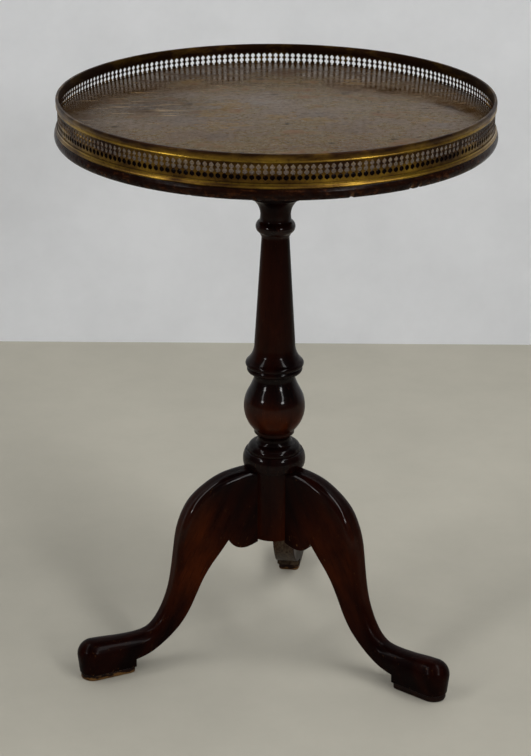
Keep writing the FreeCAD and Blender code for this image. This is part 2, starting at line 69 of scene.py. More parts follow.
# How fine the turned pieces and the pins are, what welds points into one, and a hair's breadth of play.
BOARD_SEGMENTS, RING_SEGMENTS, PILLAR_SEGMENTS, PIN_SIDES = 900, 360, 144, 12
# Steps in the arcs of the pillar, the board, the mouldings and the bracket's lobe, and in the sawn sweep.
PILLAR_ARC, BOARD_ARC, MOULDING_ARC, LOBE_ARC, SWEEP_STEPS = 12, 14, 8, 40, 160
WELD = 0.01 * MM
HAIR = 0.1 * MM
# Rounding that wear gives to the sharp corners of the board, the mouldings and the pillar.
BOARD_WEAR, MOULDING_WEAR, PILLAR_WEAR = 0.5 * MM, 0.3 * MM, 0.7 * MM

# The pillar as a turner's list in millimetres: a pair is a corner (radius, height), and four numbers
# are a round stretch through a middle point to an end point.
PILLAR_TURNING = (
    (0, 134), (28, 134), (28, 215), (32.6, 215),  # drum, up to the ring's underside
    (33.8, 223.8, 31, 232.6), (28.7, 232.6),  # base ring
    (26.5, 238.82, 21.2, 241.4), (20.1, 241.4),  # dome
    (17.4, 247.2, 21.7, 253), (21.7, 257),  # neck and collar
    (32.9, 282, 28.1, 302), (23.8, 311.04, 22.1, 315.7),  # ball and its hollow shoulder
    (22.1, 323.3), (24.2, 323.3), (29.7, 326.3, 28.6, 329.4),  # waist and the ring's lower bead
    (31.1, 332.6, 29.4, 335.9),  # ring
    (24.4, 343.1, 21.7, 355.9), (14.6, 473.3), (16.9, 478.3),  # cove, shaft and fillet
    (20.8, 484.9, 16.5, 491.5), (15.9, 497.5),  # bead and throat
    (20.3, 510.52, 32, 518.5), (32, 522.5), (30.54, 528.16, 27, 530.5),  # cavetto, lip and ovolo
    (27, 556.5), (16, 556.5), (16, 580.5), (0, 580.5),  # block and tenon
)
SHAFT_FOOT = 340  # height in millimetres, above which the pillar is painted lighter on one side, a painted light
SWELL_RADIUS, SWELL_WEAR = 30 * MM, 0.3  # what stands out further is rubbed by knocks, this much

# Stations along a leg's back: share of the reach, share of the height, lean from upright in degrees,
# depth as a share of the height, thickness as a share of the board's, rounding as a share of the half
# thickness, and width of the lower edge as a share of the thickness.
LEG_STATIONS = np.array((
    (0.068, 1.010, 0, 0.43, 1.00, 0.62, 1.00),
    (0.200, 1.000, 1, 0.43, 1.00, 0.64, 1.00),
    (0.311, 0.974, 6, 0.42, 1.00, 0.66, 1.00),
    (0.416, 0.912, 18, 0.38, 1.00, 0.66, 1.00),
    (0.482, 0.838, 28, 0.355, 1.00, 0.64, 1.00),
    (0.525, 0.736, 39, 0.305, 0.98, 0.62, 1.00),
    (0.544, 0.629, 49, 0.265, 0.97, 0.60, 1.00),
    (0.564, 0.488, 60, 0.225, 0.94, 0.62, 1.00),
    (0.590, 0.381, 63, 0.20, 0.92, 0.68, 1.00),
    (0.631, 0.290, 55, 0.18, 0.91, 0.76, 1.00),
    (0.685, 0.222, 36, 0.18, 0.94, 0.84, 0.98),
    (0.756, 0.197, 13, 0.18, 1.06, 0.90, 0.92),
    (0.860, 0.196, 0, 0.18, 1.20, 0.94, 0.86),
    (0.935, 0.201, 0, 0.185, 1.28, 0.95, 0.86),
    (1.000, 0.204, 0, 0.19, 1.31, 0.96, 0.86),
))
# The sawn underside between the cusp and the heel, as shares of the same reach and height.
LEG_UNDERSIDE = np.array((
    (0.321, 0.586), (0.404, 0.472), (0.477, 0.321), (0.551, 0.211), (0.641, 0.135), (0.719, 0.094),
))
# Corners of the sawn underside: the bracket's end, its lobe's lowest point and its cusp, from the drum's
# side and foot; and the heel, from the axis and the floor. The flat of the foot is cut past the toe.
BRACKET, LOBE, CUSP = np.array(((0, -3.5), (12.5, -7.5), (30, 5.5))) * MM
HEEL = np.array((167, 16.2)) * MM
TOE_OVERRUN = 50 * MM
# Rows along a leg, the finer ones that find its corners, and rows round its toe.
LEG_ROWS, FINE_ROWS, TOE_ROWS = 84, 2001, 12
NEAREST_CUT = 5 * MM  # a section is nowhere shallower than this
COPE_REACH = 12 * MM  # how far from the drum the leg is drawn to its curve
# The grain of a leg's board falls by GRAIN_FALL of the leg's height over GRAIN_RUN of its reach, and each
# leg is cut this much further along and across the board, in metres. Edges sharper than LEG_SHARP and
# PAD_SHARP, in degrees, stay crisp.
GRAIN_FALL, GRAIN_RUN, BOARD_STEP = 0.8, 0.4, (0.7, 0.3)
LEG_SHARP, PAD_SHARP = 50.0, 40.0
# How a leg's section is marked, for each column from the back's middle to the underside's: two on the
# flat, nine round the upper edge, three down the side, four round the arris and two below.
UPPER_EDGE = (1, 1, 1, 1, 1, 1, 0.8, 0.5, 0.2)
LEG_MARKS = {
    "wear": (*[0] * 4, *[0.35] * 5, *[0] * 5, *[1] * 4, 0, 0),
    "under": (*[0] * 17, 1, 1, 1),
    "crown": (0, 0, *UPPER_EDGE, *[0] * 9),
    "back": (1, 1, *UPPER_EDGE, *[0] * 9),
}
# The leg's dovetail: its depth into the drum, its half width at the tip and at the root, how far the root
# lies inside the drum, how far it hangs below the drum, and how far it stops below the leg's top.
TAIL_DEPTH, TAIL_TIP, TAIL_ROOT, TAIL_INSIDE, TAIL_HANG, TAIL_STOP = (
    size * MM for size in (14, 7, 4.5, 0.4, 0.3, 12))

# The pads: middles of the toe's and the heel's curves, points round each curve, how square the heel is,
# and waves of the rubbed sole. Rows from the sole to the top: sevenths of the height, and inset in
# millimetres.
PAD_TOE_REACH, PAD_HEEL_REACH = 212.2 * MM, 179.4 * MM
TOE_COUNT, HEEL_COUNT = 25, 21
HEEL_POWER = 0.4
SOLE_WAVE = 0.22 * MM
PAD_ROWS = np.array((
    (0, 9), (0, 1.2), (0.45, 0.45), (1.2, 0.05), (3, 0), (5.2, 0.05), (6.5, 0.35), (7, 0.9), (7, 9)))

# Where the dark stain is rubbed thin and the wood glows: up the pillar, height in millimetres and share;
# up a leg, share of its height and share. Below zero the stain lies thick. Nearer the pillar than
# LEG_SHADE, a share of the reach, the leg is painted darker, a painted shade, down to LEAST_LIGHT; its back
# is painted darker by BACK_SHADE, also painted shade; and the shaft is painted lighter on one side, a
# painted light, most at PAINTED_LIGHT_SIDE.
PILLAR_THIN = ((134, 0.35), (205, 0.25), (215, 0.0), (241, -0.2), (256, 0.2), (268, 0.9), (286, 0.3),
               (300, 0.0), (330, 0.0), (350, 0.12), (420, 0.16), (473, 0.1), (491, 0.05), (518, 0.0))
LEG_THIN = ((0, -0.02), (0.2, 0.06), (0.35, 0.6), (0.55, 0.85), (0.75, 0.65), (0.9, 0.2), (1.0, 0.0))
LEG_SHADE, LEAST_LIGHT = 0.38, 0.25
BACK_SHADE = 0.6
PAINTED_LIGHT_SIDE = math.radians(205)
# How much of the varnish is left: up the pillar, height in millimetres and share; up a leg's rounded
# upper edges, share of its height and share; and on a leg's flat faces.
PILLAR_GLOSS = ((134, 0.02), (205, 0.03), (219, 0.24), (232, 0.24), (255, 0.16), (275, 0.08), (290, 0.32),
                (308, 0.32), (320, 0.24), (340, 0.18), (365, 0.03), (473, 0.03), (478, 0.4), (492, 0.4),
                (499, 0.1), (520, 0.08))
LEG_GLOSS = ((0, 0.045), (0.2, 0.03), (0.3, 0.025), (0.65, 0.04), (0.76, 0.32), (0.88, 0.32), (1.0, 0.18))
FACE_GLOSS = 0.04

# One piercing, from its foot to its tip: share of the height, and share of the half width. Three
# lobes like fat diamonds, with pointed waists between them. The land at the seam is wider than the
# others by SEAM_LAND of their spacing.
PIERCING = np.array((
    (0.0, 0.0), (0.11, 1.0), (0.24, 1.0), (0.36, 0.24), (0.465, 0.97), (0.565, 0.97),
    (0.67, 0.24), (0.775, 0.95), (0.86, 0.92), (1.0, 0.0),
))
SEAM_LAND = 0.36
# Sections of the mouldings. The rail: its wall, the height of its ridge and of its bead, and how far they
# swell. The base moulding: the width and height of its ridge, its lip's height, and how far out its hollow
# lies as a share of the flare. A pin: its root in the strip, and the rise of its rings in degrees.
SOLDER_GAP = 0.15 * MM
RAIL_WALL, RIDGE_HEIGHT, BEAD_HEIGHT, RIDGE_SWELL, BEAD_SWELL = (
    size * MM for size in (0.7, 1.6, 4.6, 0.5, 0.6))
FOOT_RIDGE, FOOT_RIDGE_HEIGHT, FOOT_LIP = 0.9 * MM, 1.4 * MM, 1.1 * MM
FOOT_HOLLOW = 0.33
PIN_ROOT = 0.5 * MM
PIN_RISE = (0, 0, 25, 50, 72, 90)

# How bright the gallery is rubbed: each row of the strip's points, from its foot over the piercing to its
# top; for the mouldings, height above the foot in millimetres and brightness; and the pins. On the cap
# rail this is partly painted light: a painted highlight along the ridge, and a painted dark reflection
# over the bead, darkest at its top.
STRIP_SHINE = (0.55, 0.5, 0.45, 0.4, 0.35, 0.25, 0.2, 0.15, 0.15, 0.15, 0.2, 0.3)
RAIL_SHINE = ((0, 0.8), (1.2, 0.8), (2.4, 0.5), (4.0, 0.4), (6.0, 0.2), (7.4, 0.02), (8.4, 0.0))
MOULDING_SHINE = ((0, 0.1), (0.5, 0.52), (1.4, 0.52), (2.6, 0.36), (3.4, 0.76), (4.6, 0.76), (4.8, 0.1))
PIN_SHINE = 0.5

# How far the middle of the quirk's round lies in from its corner, as a share of the quirk.
QUIRK_EASE = 0.29
# Chips knocked out of the board's lower edge: azimuth and half width in degrees, depth in millimetres.
# None reaches further in than CHIP_REACH, and each fades out over CHIP_FADE. A chip rises by CHIP_RISE
# of its depth, its wood pales in proportion to CHIP_PALE, and none is barer than CHIP_BARE.
CHIP_REACH, CHIP_FADE, CHIP_PALE = 8 * MM, 4 * MM, 1.5 * MM
CHIP_RISE, CHIP_BARE = 0.6, 0.6
EDGE_CHIPS = np.array((
    (294.6, 0.6, 1.3), (311.0, 0.7, 1.3), (313.5, 0.45, 1.0), (255.0, 0.4, 0.6),
    (20.0, 0.6, 0.9), (75.0, 0.5, 0.8), (141.0, 0.7, 1.0),
))

# Marks of use on the board's face, in millimetres from its middle, as (x, y, half length, half width):
# patches where the polish has worn to bare wood, single dark dents, and the part that is scratched most.
# With each kind, how far in from a mark's outline it is whole, as a share, and how strong it is there.
MARKS = {
    "patch": (0.3, 1.0, (
        (-46, 27, 44, 30.8), (-46, -51, 40, 28), (-60, -10, 34, 23.8), (15, -10, 32, 22.4),
        (45, -16, 30, 21), (151, -3, 30, 21), (69, 146, 26, 18.2), (-100, 120, 24, 16.8),
        (90, -150, 30, 21))),
    "dent": (0.75, 0.7, (
        (-92, 26, 7, 4.5), (-8, 77, 5, 3.5), (65, 93, 6, 4), (176, 51, 7, 5), (18, -37, 2.4, 4),
        (152, 41, 5, 3.5), (128, -81, 5, 3), (68, -102, 4, 3), (-150, -70, 5, 3), (-30, 140, 5, 3.5),
        (105, 20, 2, 3))),
    "scratched": (0.2, 1.0, ((-131, 10, 85, 68),)),
}
# The marks have ragged outlines, by a noise of this cell and reach. The face is darker outside a round. A
# mark is so tall, ANY_HEIGHT, that only its plan counts.
RAGGED_CELL, RAGGED_REACH = 9 * MM, 5 * MM
DARKENING_MIDDLE, DARKENING_RADIUS = (20 * MM, -24 * MM, 0), 245 * MM
ANY_HEIGHT = 1000.0

# The camera as fitted to the photograph: heading round the table, tilt below level and roll in degrees,
# sensor and focal length in millimetres, and sideways shift as a share of the sensor.
HEADING, TILT, ROLL = 6.2, 22.02, 0.37
SENSOR, FOCAL_LENGTH, SIDE_SHIFT = 36.0, 100.16, -0.012
# The stage: half width and half depth of the floor, height of the backdrop, and light from all round.
STAGE_WIDE, STAGE_DEEP, STAGE_TALL, WORLD_LIGHT = 6.0, 7.0, 5.0, 0.07
# Lamps: the two ends of each in metres, its width, and its power in watts. A wide panel overhead, and a
# long soft strip on either side with a brighter head at its far end. All face LIT_HEIGHT on the axis.
LAMPS = (
    ("ceiling_panel", (-0.8, -0.5, 3.2), (2.4, -0.5, 3.2), 3.0, 13.5),
    ("left_strip", (-4.9, -4.25, 2.5), (-1.0, 0.5, 2.5), 0.45, 57.0),
    ("right_strip", (3.32, -5.07, 2.5), (0.92, 0.29, 2.5), 0.45, 72.0),
    ("left_head", (-5.07, -3.71, 2.4), (-4.41, -4.46, 2.4), 0.6, 40.0),
    ("right_head", (2.77, -5.11, 2.4), (3.63, -4.59, 2.4), 0.6, 40.0),
)
LIT_HEIGHT = 0.4


def linear(hex_colour):
    """Linear red, green, blue and alpha of an sRGB hex colour."""
    parts = np.array([int(hex_colour[i:i + 2], 16) for i in (1, 3, 5)]) / 255
    light = np.where(parts <= 0.04045, parts / 12.92, ((parts + 0.055) / 1.055) ** 2.4)
    return (*light.tolist(), 1.0)


def length(name, description, metres):
    """A length that the user may change."""
    return bpy.props.FloatProperty(
        name=name, description=description, default=metres, min=0.0, precision=5,
        subtype="DISTANCE", unit="LENGTH",
    )


def colour(name, description, hex_colour):
    """A colour that the user may change, written as an sRGB hex value."""
    return bpy.props.FloatVectorProperty(
        name=name, description=description, default=linear(hex_colour), size=4, min=0.0, max=1.0,
        subtype="COLOR",
    )


class BoardSizes(bpy.types.PropertyGroup):
    """Sizes of the round board."""

    radius: length("Radius", "Radius at the swell of the board's edge", BOARD_HIGH.x)
    surface: length("Surface", "Height of the upper face above the floor", BOARD_HIGH.z)
    underside: length("Underside", "Height of the lower face above the floor", BOARD_LOW.z)
    rabbet_depth: length("Rabbet depth", "How far the gallery's ledge is cut in", 4.6 * MM)
    rabbet_height: length("Rabbet height", "How far the ledge lies below the surface", 12.5 * MM)
    swell: length("Edge swell", "How far the edge stands out beyond the ledge", 1.0 * MM)
    lower_round: length("Lower round", "How far the edge rolls in at the underside", 3.0 * MM)
    upper_round: length("Upper round", "Rounding where the surface meets the gallery", 1.2 * MM)
    quirk: length("Quirk", "Rounding of the edge where it meets the brass", 1.3 * MM)


class GallerySizes(bpy.types.PropertyGroup):
    """Sizes of the pierced brass gallery."""

    thickness: length("Strip thickness", "Thickness of the brass strip", 0.9 * MM)
    foot: length("Strip foot", "Height of the strip's lower edge", BAND_LOW.z)
    top: length("Strip top", "Height of the strip's upper edge", BAND_HIGH.z)
    outer: length("Strip radius", "Outer radius of the strip", BAND_HIGH.y)
    holes: bpy.props.IntProperty(
        name="Piercings", description="Number of piercings round the strip", default=219, min=3)
    hole_foot: length("Piercing foot", "Height of a piercing above the strip's foot", 7.2 * MM)
    hole_height: length("Piercing height", "Height of a piercing", 15.8 * MM)
    hole_width: length("Piercing width", "Widest part of a piercing", 4.85 * MM)
    seam_slit: length("Seam slit", "Gap between the strip's two ends", 0.4 * MM)
    seam_azimuth: bpy.props.FloatProperty(
        name="Seam azimuth", description="Where the strip's two ends meet",
        default=math.radians(329), subtype="ANGLE", unit="ROTATION")
    pins: bpy.props.IntProperty(
        name="Pins", description="Number of pins that nail the strip", default=16, min=1)
    pin_height: length("Pin height", "Height of the pins above the strip's foot", 5.9 * MM)
    pin_radius: length("Pin radius", "Radius of a pin's head", 1.0 * MM)
    pin_crown: length("Pin crown", "How far a pin's head stands proud", 0.7 * MM)


class LegSizes(bpy.types.PropertyGroup):
    """Sizes of the cabriole legs and their pads."""

    reach: length("Reach", "From the pillar's axis to the middle of the toe", 212 * MM)
    height: length("Height", "Height of a leg where it meets the pillar", 215 * MM)
    thickness: length("Thickness", "Thickness of the board that a leg is sawn from", 26 * MM)
    drum_radius: length("Drum radius", "Radius of the pillar's drum, which the leg is coped to", 28 * MM)
    drum_foot: length("Drum foot", "Height of the drum's lower end", DRUM_FOOT)
    arris: length("Lower arris", "Rounding of the leg's lower edges", 1.4 * MM)
    pad_height: length("Pad height", "Thickness of the pad under a foot", PAD_HEIGHT)
    pad_toe: length("Pad toe", "Radius of a pad's outer end", 13.6 * MM)
    pad_heel: length("Pad heel", "Radius of a pad's inner end", 12.4 * MM)


class Finishes(bpy.types.PropertyGroup):
    """Colours of the woods and metals."""

    mahogany_dark: colour("Mahogany, dark", "Stain in the grain's dark bands", "#090202")
    mahogany_mid: colour("Mahogany, body", "Body colour of the stained wood", "#1d0602")
    # This colour also carries the painted light on one side of the shaft.
    mahogany_light: colour("Mahogany, light", "Wood where the stain has worn thin", "#5a2506")
    top_dark: colour("Board, dark", "Dark grain of the board's upper face", "#36240d")
    top_body: colour("Board, body", "Body colour of the board's upper face", "#4c3412")
    top_olive: colour("Board, olive", "Board where its old polish has yellowed", "#4e3d16")
    top_rosy: colour("Board, rosy", "Board where its red stain shows", "#5e3a1b")
    top_worn: colour("Board, worn", "Board where its polish has worn through", "#675026")
    edge_wood: colour("Edge wood", "Bare wood in chips and rubbed edges", "#7b5634")
    edge_dark: colour("Edge, dark", "Dark stain of the board's edge", "#120705")
    edge_body: colour("Edge, body", "Body colour of the board's edge", "#1c0b05")
    edge_light: colour("Edge, light", "Edge where its stain is rubbed thin", "#553017")
    scratch: colour("Scratch", "Pale scratches in the board's polish", "#8f7753")
    brass_bright: colour("Brass, rubbed", "Brass where hands keep it bright", "#9a7a2a")
    brass_body: colour("Brass, body", "Brass under its brown tarnish", "#64491a")
    brass_patina: colour("Brass, tarnish", "Old tarnish in the hollows", "#2c1808")
    pad_wood: colour("Pad wood", "Wood of the pads under the feet", "#220f08")
    pad_bare: colour("Pad, bare", "Bare wood at the rims of the pads", "#73522d")
    dusty_wood: colour("Dusty wood", "Sawn wood under the legs, dull with dust", "#4d4032")
    plain_wood: colour("Plain wood", "Unpolished wood under the board", "#5d3c22")
    steel: colour("Steel", "Metal of the plate's screws", "#8c8880")


class StageSettings(bpy.types.PropertyGroup):
    """The plain studio round the table."""

    floor: colour("Floor", "Colour of the plain floor", "#b8b4a7")
    backdrop: colour("Backdrop", "Colour of the plain backdrop", "#f3f5f9")
    camera_distance: length("Camera distance", "From the pillar's axis to the lens, level", 2.0797)
    camera_height: length("Camera height", "Height of the lens above the floor", 1.1557)
    backdrop_distance: length("Backdrop distance", "From the pillar's axis to the backdrop", 0.92)


class TeaTable(bpy.types.PropertyGroup):
    """All the settings of the table and its stage."""

    board: bpy.props.PointerProperty(type=BoardSizes, name="Board", description="Board sizes")
    gallery: bpy.props.PointerProperty(type=GallerySizes, name="Gallery", description="Gallery sizes")
    legs: bpy.props.PointerProperty(type=LegSizes, name="Legs", description="Leg and pad sizes")
    finishes: bpy.props.PointerProperty(type=Finishes, name="Finishes", description="Colours")
    stage: bpy.props.PointerProperty(type=StageSettings, name="Stage", description="Studio settings")


# Shapes


def arc_points(start, middle, end, count):
    """Points along the circle through three points, evenly in angle, from after the start to the end.
    The centre is where the perpendicular bisectors of the two chords meet."""
    start, middle, end = (np.array(p, float) for p in (start, middle, end))
    chords = np.array([middle - start, end - start])
    centre = start + np.linalg.solve(chords, (chords ** 2).sum(1) / 2)
    spokes = np.array([start, middle, end]) - centre
    angles = np.unwrap(np.arctan2(spokes[:, 1], spokes[:, 0]))
    if (angles[1] - angles[0]) * (angles[2] - angles[1]) < 0:
        angles[2] += math.copysign(2 * math.pi, angles[1] - angles[0])
    turns = np.linspace(angles[0], angles[2], count + 1)[1:]
    return centre + np.hypot(*spokes[0]) * np.stack([np.cos(turns), np.sin(turns)], 1)


def profile_points(moves, arc_steps):
    """A profile from a turner's list: straight to each corner, and round through each middle point."""
    path = np.array([moves[0]], float)
    for move in moves[1:]:
        step = [move] if len(move) == 2 else arc_points(path[-1], move[:2], move[2:], arc_steps)
        path = np.concatenate([path, step])
    return path


def softened(points, radius, closed=False, sharp=math.radians(22)):
    """A profile whose sharp corners are rubbed round: each becomes three points of the parabola that
    touches both of its sides at the given distance from the corner, or nearly halfway along the shorter
    side if that is less."""
    halfway, tiny = 0.45, 1e-9
    back = np.roll(points, 1, 0) - points
    ahead = np.roll(points, -1, 0) - points
    back_length, ahead_length = (np.maximum(np.hypot(*side.T), tiny) for side in (back, ahead))
    straight = -(back * ahead).sum(1) / (back_length * ahead_length)
    corner = np.arccos(np.clip(straight, -1, 1)) > sharp
    if not closed:
        corner[[0, -1]] = False
    reach = np.minimum(radius, halfway * np.minimum(back_length, ahead_length))[:, None]
    first = points + back / back_length[:, None] * reach
    last = points + ahead / ahead_length[:, None] * reach
    middle = np.where(corner[:, None], (first + 2 * points + last) / 4, points)
    keep = np.stack([corner, np.ones_like(corner), corner], 1)
    return np.stack([first, middle, last], 1)[keep]


def grid_quads(rows, columns, close_rows=False):
    """Four corner numbers for each cell of a grid that is stored row by row, with closed rows of points."""
    row = np.arange(rows if close_rows else rows - 1)
    row, column = (a.ravel() for a in np.meshgrid(row, np.arange(columns), indexing="ij"))
    next_row, next_column = (row + 1) % rows, (column + 1) % columns
    return np.stack([row * columns + column, row * columns + next_column,
                     next_row * columns + next_column, next_row * columns + column], 1)


def outward(points, faces):
    """The faces, turned over if the volume they close is negative: the sum over fan triangles of the
    signed volume each makes with the origin."""
    volume = 0.0
    for group in faces:
        corners = points[group]
        for i in range(1, group.shape[1] - 1):
            cross = np.cross(corners[:, i], corners[:, i + 1])
            volume += (corners[:, 0] * cross).sum()
    return faces if volume > 0 else [group[:, ::-1] for group in faces]


def make_piece(name, points, faces, maker, nodes, attributes, weld=0.0, sharp=35.0):
    """A mesh object from whole arrays, smooth but for edges sharper than the given angle, riding on the
    frame and standing for the named nodes. Attributes are values or vectors for each point."""
    mesh = bpy.data.meshes.new(name)
    lists = [face for group in outward(points, faces) for face in group.tolist()]
    mesh.from_pydata(points.tolist(), [], lists)
    for key, values in attributes.items():
        kind, field = ("FLOAT_VECTOR", "vector") if values.ndim == 2 else ("FLOAT", "value")
        layer = mesh.attributes.new(key, kind, "POINT")
        layer.data.foreach_set(field, values.astype(np.float32).ravel())
    if weld:
        welded = bmesh.new()
        welded.from_mesh(mesh)
        bmesh.ops.remove_doubles(welded, verts=welded.verts, dist=weld)
        bmesh.ops.dissolve_degenerate(welded, edges=welded.edges, dist=weld)
        welded.to_mesh(mesh)
        welded.free()
    if mesh.validate():
        raise RuntimeError(f"{name} has faces that Blender can't use")
    mesh.shade_smooth()
    mesh.set_sharp_from_angle(angle=math.radians(sharp))
    mesh.materials.append(shared(maker, bpy.context.scene.tea_table.finishes))
    piece = bpy.data.objects.new(name, mesh)
    bpy.context.scene.collection.objects.link(piece)
    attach(piece, "root")
    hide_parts(*nodes)


def turned_surface(profile, segments, closed):
    """A surface of revolution: point (u, v) is the profile's radius and height at v, turned through the
    angle u about Z. A closed profile makes a ring; an open one has both its ends on the axis, and each
    end is one point with a fan of triangles."""
    turn = np.linspace(0, 2 * math.pi, segments, endpoint=False)
    body = profile if closed else profile[1:-1]
    radius, height = body[:, :1], body[:, 1:]
    points = np.stack([radius * np.cos(turn), radius * np.sin(turn),
                       np.broadcast_to(height, (len(body), segments))], 2).reshape(-1, 3)
    faces = [grid_quads(len(body), segments, closed)]
    if not closed:
        ends = np.array([[0, 0, profile[0, 1]], [0, 0, profile[-1, 1]]])
        low, high = len(points), len(points) + 1
        column = np.arange(segments)
        after = (column + 1) % segments
        last = (len(body) - 1) * segments
        fans = [np.stack([np.full(segments, low), after, column], 1),
                np.stack([np.full(segments, high), last + column, last + after], 1)]
        points = np.concatenate([points, ends])
        faces.append(np.concatenate(fans))
    return points, faces


def natural_cubic(values, places):
    """Rows of values at whole-number places, carried smoothly to places between them: the cubic spline
    whose second derivative is zero at both ends."""
    count = len(values)
    matrix = np.eye(count)
    inner = np.arange(1, count - 1)
    matrix[inner, inner - 1], matrix[inner, inner], matrix[inner, inner + 1] = 1, 4, 1
    bend = np.zeros_like(values)
    bend[1:-1] = 6 * (values[:-2] - 2 * values[1:-1] + values[2:])
    bend = np.linalg.solve(matrix, bend)
    low = np.clip(np.floor(places).astype(int), 0, count - 2)
    b = (places - low)[:, None]
    a = 1 - b
    return (a * values[low] + b * values[low + 1]
            + ((a ** 3 - a) * bend[low] + (b ** 3 - b) * bend[low + 1]) / 6)


def turned_about(points, azimuth):
    """Points turned about the pillar's axis by degrees."""
    cos, sin = math.cos(math.radians(azimuth)), math.sin(math.radians(azimuth))
    return points @ np.array([[cos, sin, 0], [-sin, cos, 0], [0, 0, 1]])


def from_axis(points):
    """Each point's distance from the pillar's axis."""
    return np.hypot(points[:, 0], points[:, 1])


def board_profile(sizes):
    """Half section of the board, from the axis below to the axis above: a swelled edge, rounded into a
    quirk under the brass, then the ledge and the rabbet behind it. Two rings below bound the chips."""
    ledge = sizes.surface - sizes.rabbet_height
    back = sizes.radius - sizes.rabbet_depth
    face = sizes.radius - sizes.swell
    eased = QUIRK_EASE * sizes.quirk
    below = [(sizes.radius - inset, sizes.underside)
             for inset in (1.5 * CHIP_REACH, CHIP_REACH, sizes.lower_round)]
    return profile_points((
        (0, sizes.underside), *below,
        (sizes.radius, (ledge + sizes.underside) / 2, face, ledge - sizes.quirk),
        (face - eased, ledge - eased, face - sizes.quirk, ledge), (back, ledge),
        (back, sizes.surface - sizes.upper_round), (back - sizes.upper_round, sizes.surface),
        (0, sizes.surface),
    ), BOARD_ARC)


def chipped(points, sizes):
    """The board's points with its chips knocked out: near the lower edge, each chip takes off a depth
    that falls off as a squared cosine along the edge and as a bell curve up from it. Also gives how bare
    each point is."""
    azimuth = np.degrees(np.arctan2(points[:, 1], points[:, 0]))[:, None]
    away = np.abs((azimuth - EDGE_CHIPS[:, 0] + 180) % 360 - 180) / EDGE_CHIPS[:, 1]
    notch = (EDGE_CHIPS[:, 2] * np.cos(np.minimum(away, 1) * math.pi / 2) ** 2).sum(1) * MM
    radius = from_axis(points)
    below = np.exp(-((points[:, 2] - sizes.underside) / CHIP_FADE) ** 2)
    depth = notch * below * np.clip((radius - sizes.radius + CHIP_REACH) / CHIP_FADE, 0, 1)
    chip = points.copy()
    chip[:, :2] *= (1 - depth / np.maximum(radius, MM))[:, None]
    chip[:, 2] += CHIP_RISE * depth
    return chip, np.clip(depth / CHIP_PALE, 0, CHIP_BARE)


def quirk_shade(points, sizes):
    """How much painted shade each point of the board gets, standing for the shadow under the brass: all of
    it in the quirk, on the ledge and on the rabbet's wall behind the brass, fading over the quirk's height
    below."""
    ledge = sizes.surface - sizes.rabbet_height
    near = np.clip(1 - (ledge - points[:, 2]) / sizes.quirk, 0, 1)
    outside = from_axis(points) > sizes.radius - sizes.rabbet_depth - HAIR
    return near * outside * (points[:, 2] < sizes.surface - sizes.upper_round / 2)


def cell_turns(sizes):
    """Azimuth of each cell's middle, and half of a cell's angle. The cells fill the strip from one side
    of the seam to the other, where a wider land is left."""
    pitch = 2 * math.pi / (sizes.holes + SEAM_LAND)
    numbers = np.arange(sizes.holes)
    return sizes.seam_azimuth + pitch * (numbers + SEAM_LAND / 2 + 0.5), pitch / 2


def band_points(sizes):
    """The pierced strip as a grid for each cell: rows at the strip's edges and up the piercing, columns
    at the cell's edge, the piercing's left side, its right side and the cell's other edge. It is made
    for the outer face and again for the inner one."""
    middle, half = cell_turns(sizes)
    foot = sizes.foot + sizes.hole_foot
    rows = np.concatenate([[sizes.foot], foot + PIERCING[:, 0] * sizes.hole_height, [sizes.top]])
    widths = np.concatenate([[0], PIERCING[:, 1], [0]]) * sizes.hole_width / 2 / sizes.outer
    edge = np.full_like(widths, half)
    turns = middle[:, None, None] + np.stack([-edge, -widths, widths, edge], 1)
    slit = sizes.seam_slit / sizes.outer / 2
    turns[0, :, 0] = sizes.seam_azimuth + slit
    turns[-1, :, 3] = sizes.seam_azimuth + 2 * math.pi - slit
    height = np.broadcast_to(rows[:, None], turns.shape)
    return np.stack([np.stack([radius * np.cos(turns), radius * np.sin(turns), height], 3)
                     for radius in (sizes.outer, sizes.outer - sizes.thickness)])


def band_faces(cells, rows):
    """Faces of the strip: on each side the two halves of every cell, the walls of every piercing, the
    strip's upper and lower edges and its two ends."""
    out, inn = np.arange(2 * cells * rows * 4).reshape(2, cells, rows, 4)
    low, high = slice(1, rows - 2), slice(2, rows - 1)
    found = [
        (out[:, low, 1], inn[:, low, 1], inn[:, high, 1], out[:, high, 1]),
        (inn[:, low, 2], out[:, low, 2], out[:, high, 2], inn[:, high, 2]),
        (out[0, :-1, 0], out[0, 1:, 0], inn[0, 1:, 0], inn[0, :-1, 0]),
        (out[-1, 1:, 3], out[-1, :-1, 3], inn[-1, :-1, 3], inn[-1, 1:, 3]),
    ]
    for left, right in ((0, 1), (2, 3)):
        found += [
            (out[:, :-1, left], out[:, :-1, right], out[:, 1:, right], out[:, 1:, left]),
            (inn[:, 1:, left], inn[:, 1:, right], inn[:, :-1, right], inn[:, :-1, left]),
            (out[:, 0, right], out[:, 0, left], inn[:, 0, left], inn[:, 0, right]),
            (out[:, -1, left], out[:, -1, right], inn[:, -1, right], inn[:, -1, left]),
        ]
    return [np.concatenate([np.stack(corners, -1).reshape(-1, 4) for corners in found])]


def rail_profile(gallery):
    """Closed section of the cap rail, a channel over the strip's upper edge: a ridge above the piercings,
    a flat, and a rolled bead at the rim."""
    inner = gallery.outer - gallery.thickness
    groove = gallery.outer + SOLDER_GAP
    outer = groove + RAIL_WALL
    low, high = RAIL_LOW.z, RAIL_HIGH.z
    ridge, bead = low + RIDGE_HEIGHT, high - BEAD_HEIGHT
    return profile_points((
        (groove, low), (outer, low), (outer + RIDGE_SWELL, (low + ridge) / 2, outer, ridge),
        (outer, bead), (outer + BEAD_SWELL, (bead + high) / 2, outer, high),
        (inner - RAIL_WALL, high), (inner - RAIL_WALL, low), (inner, low), (inner, gallery.top),
        (groove, gallery.top),
    ), MOULDING_ARC)


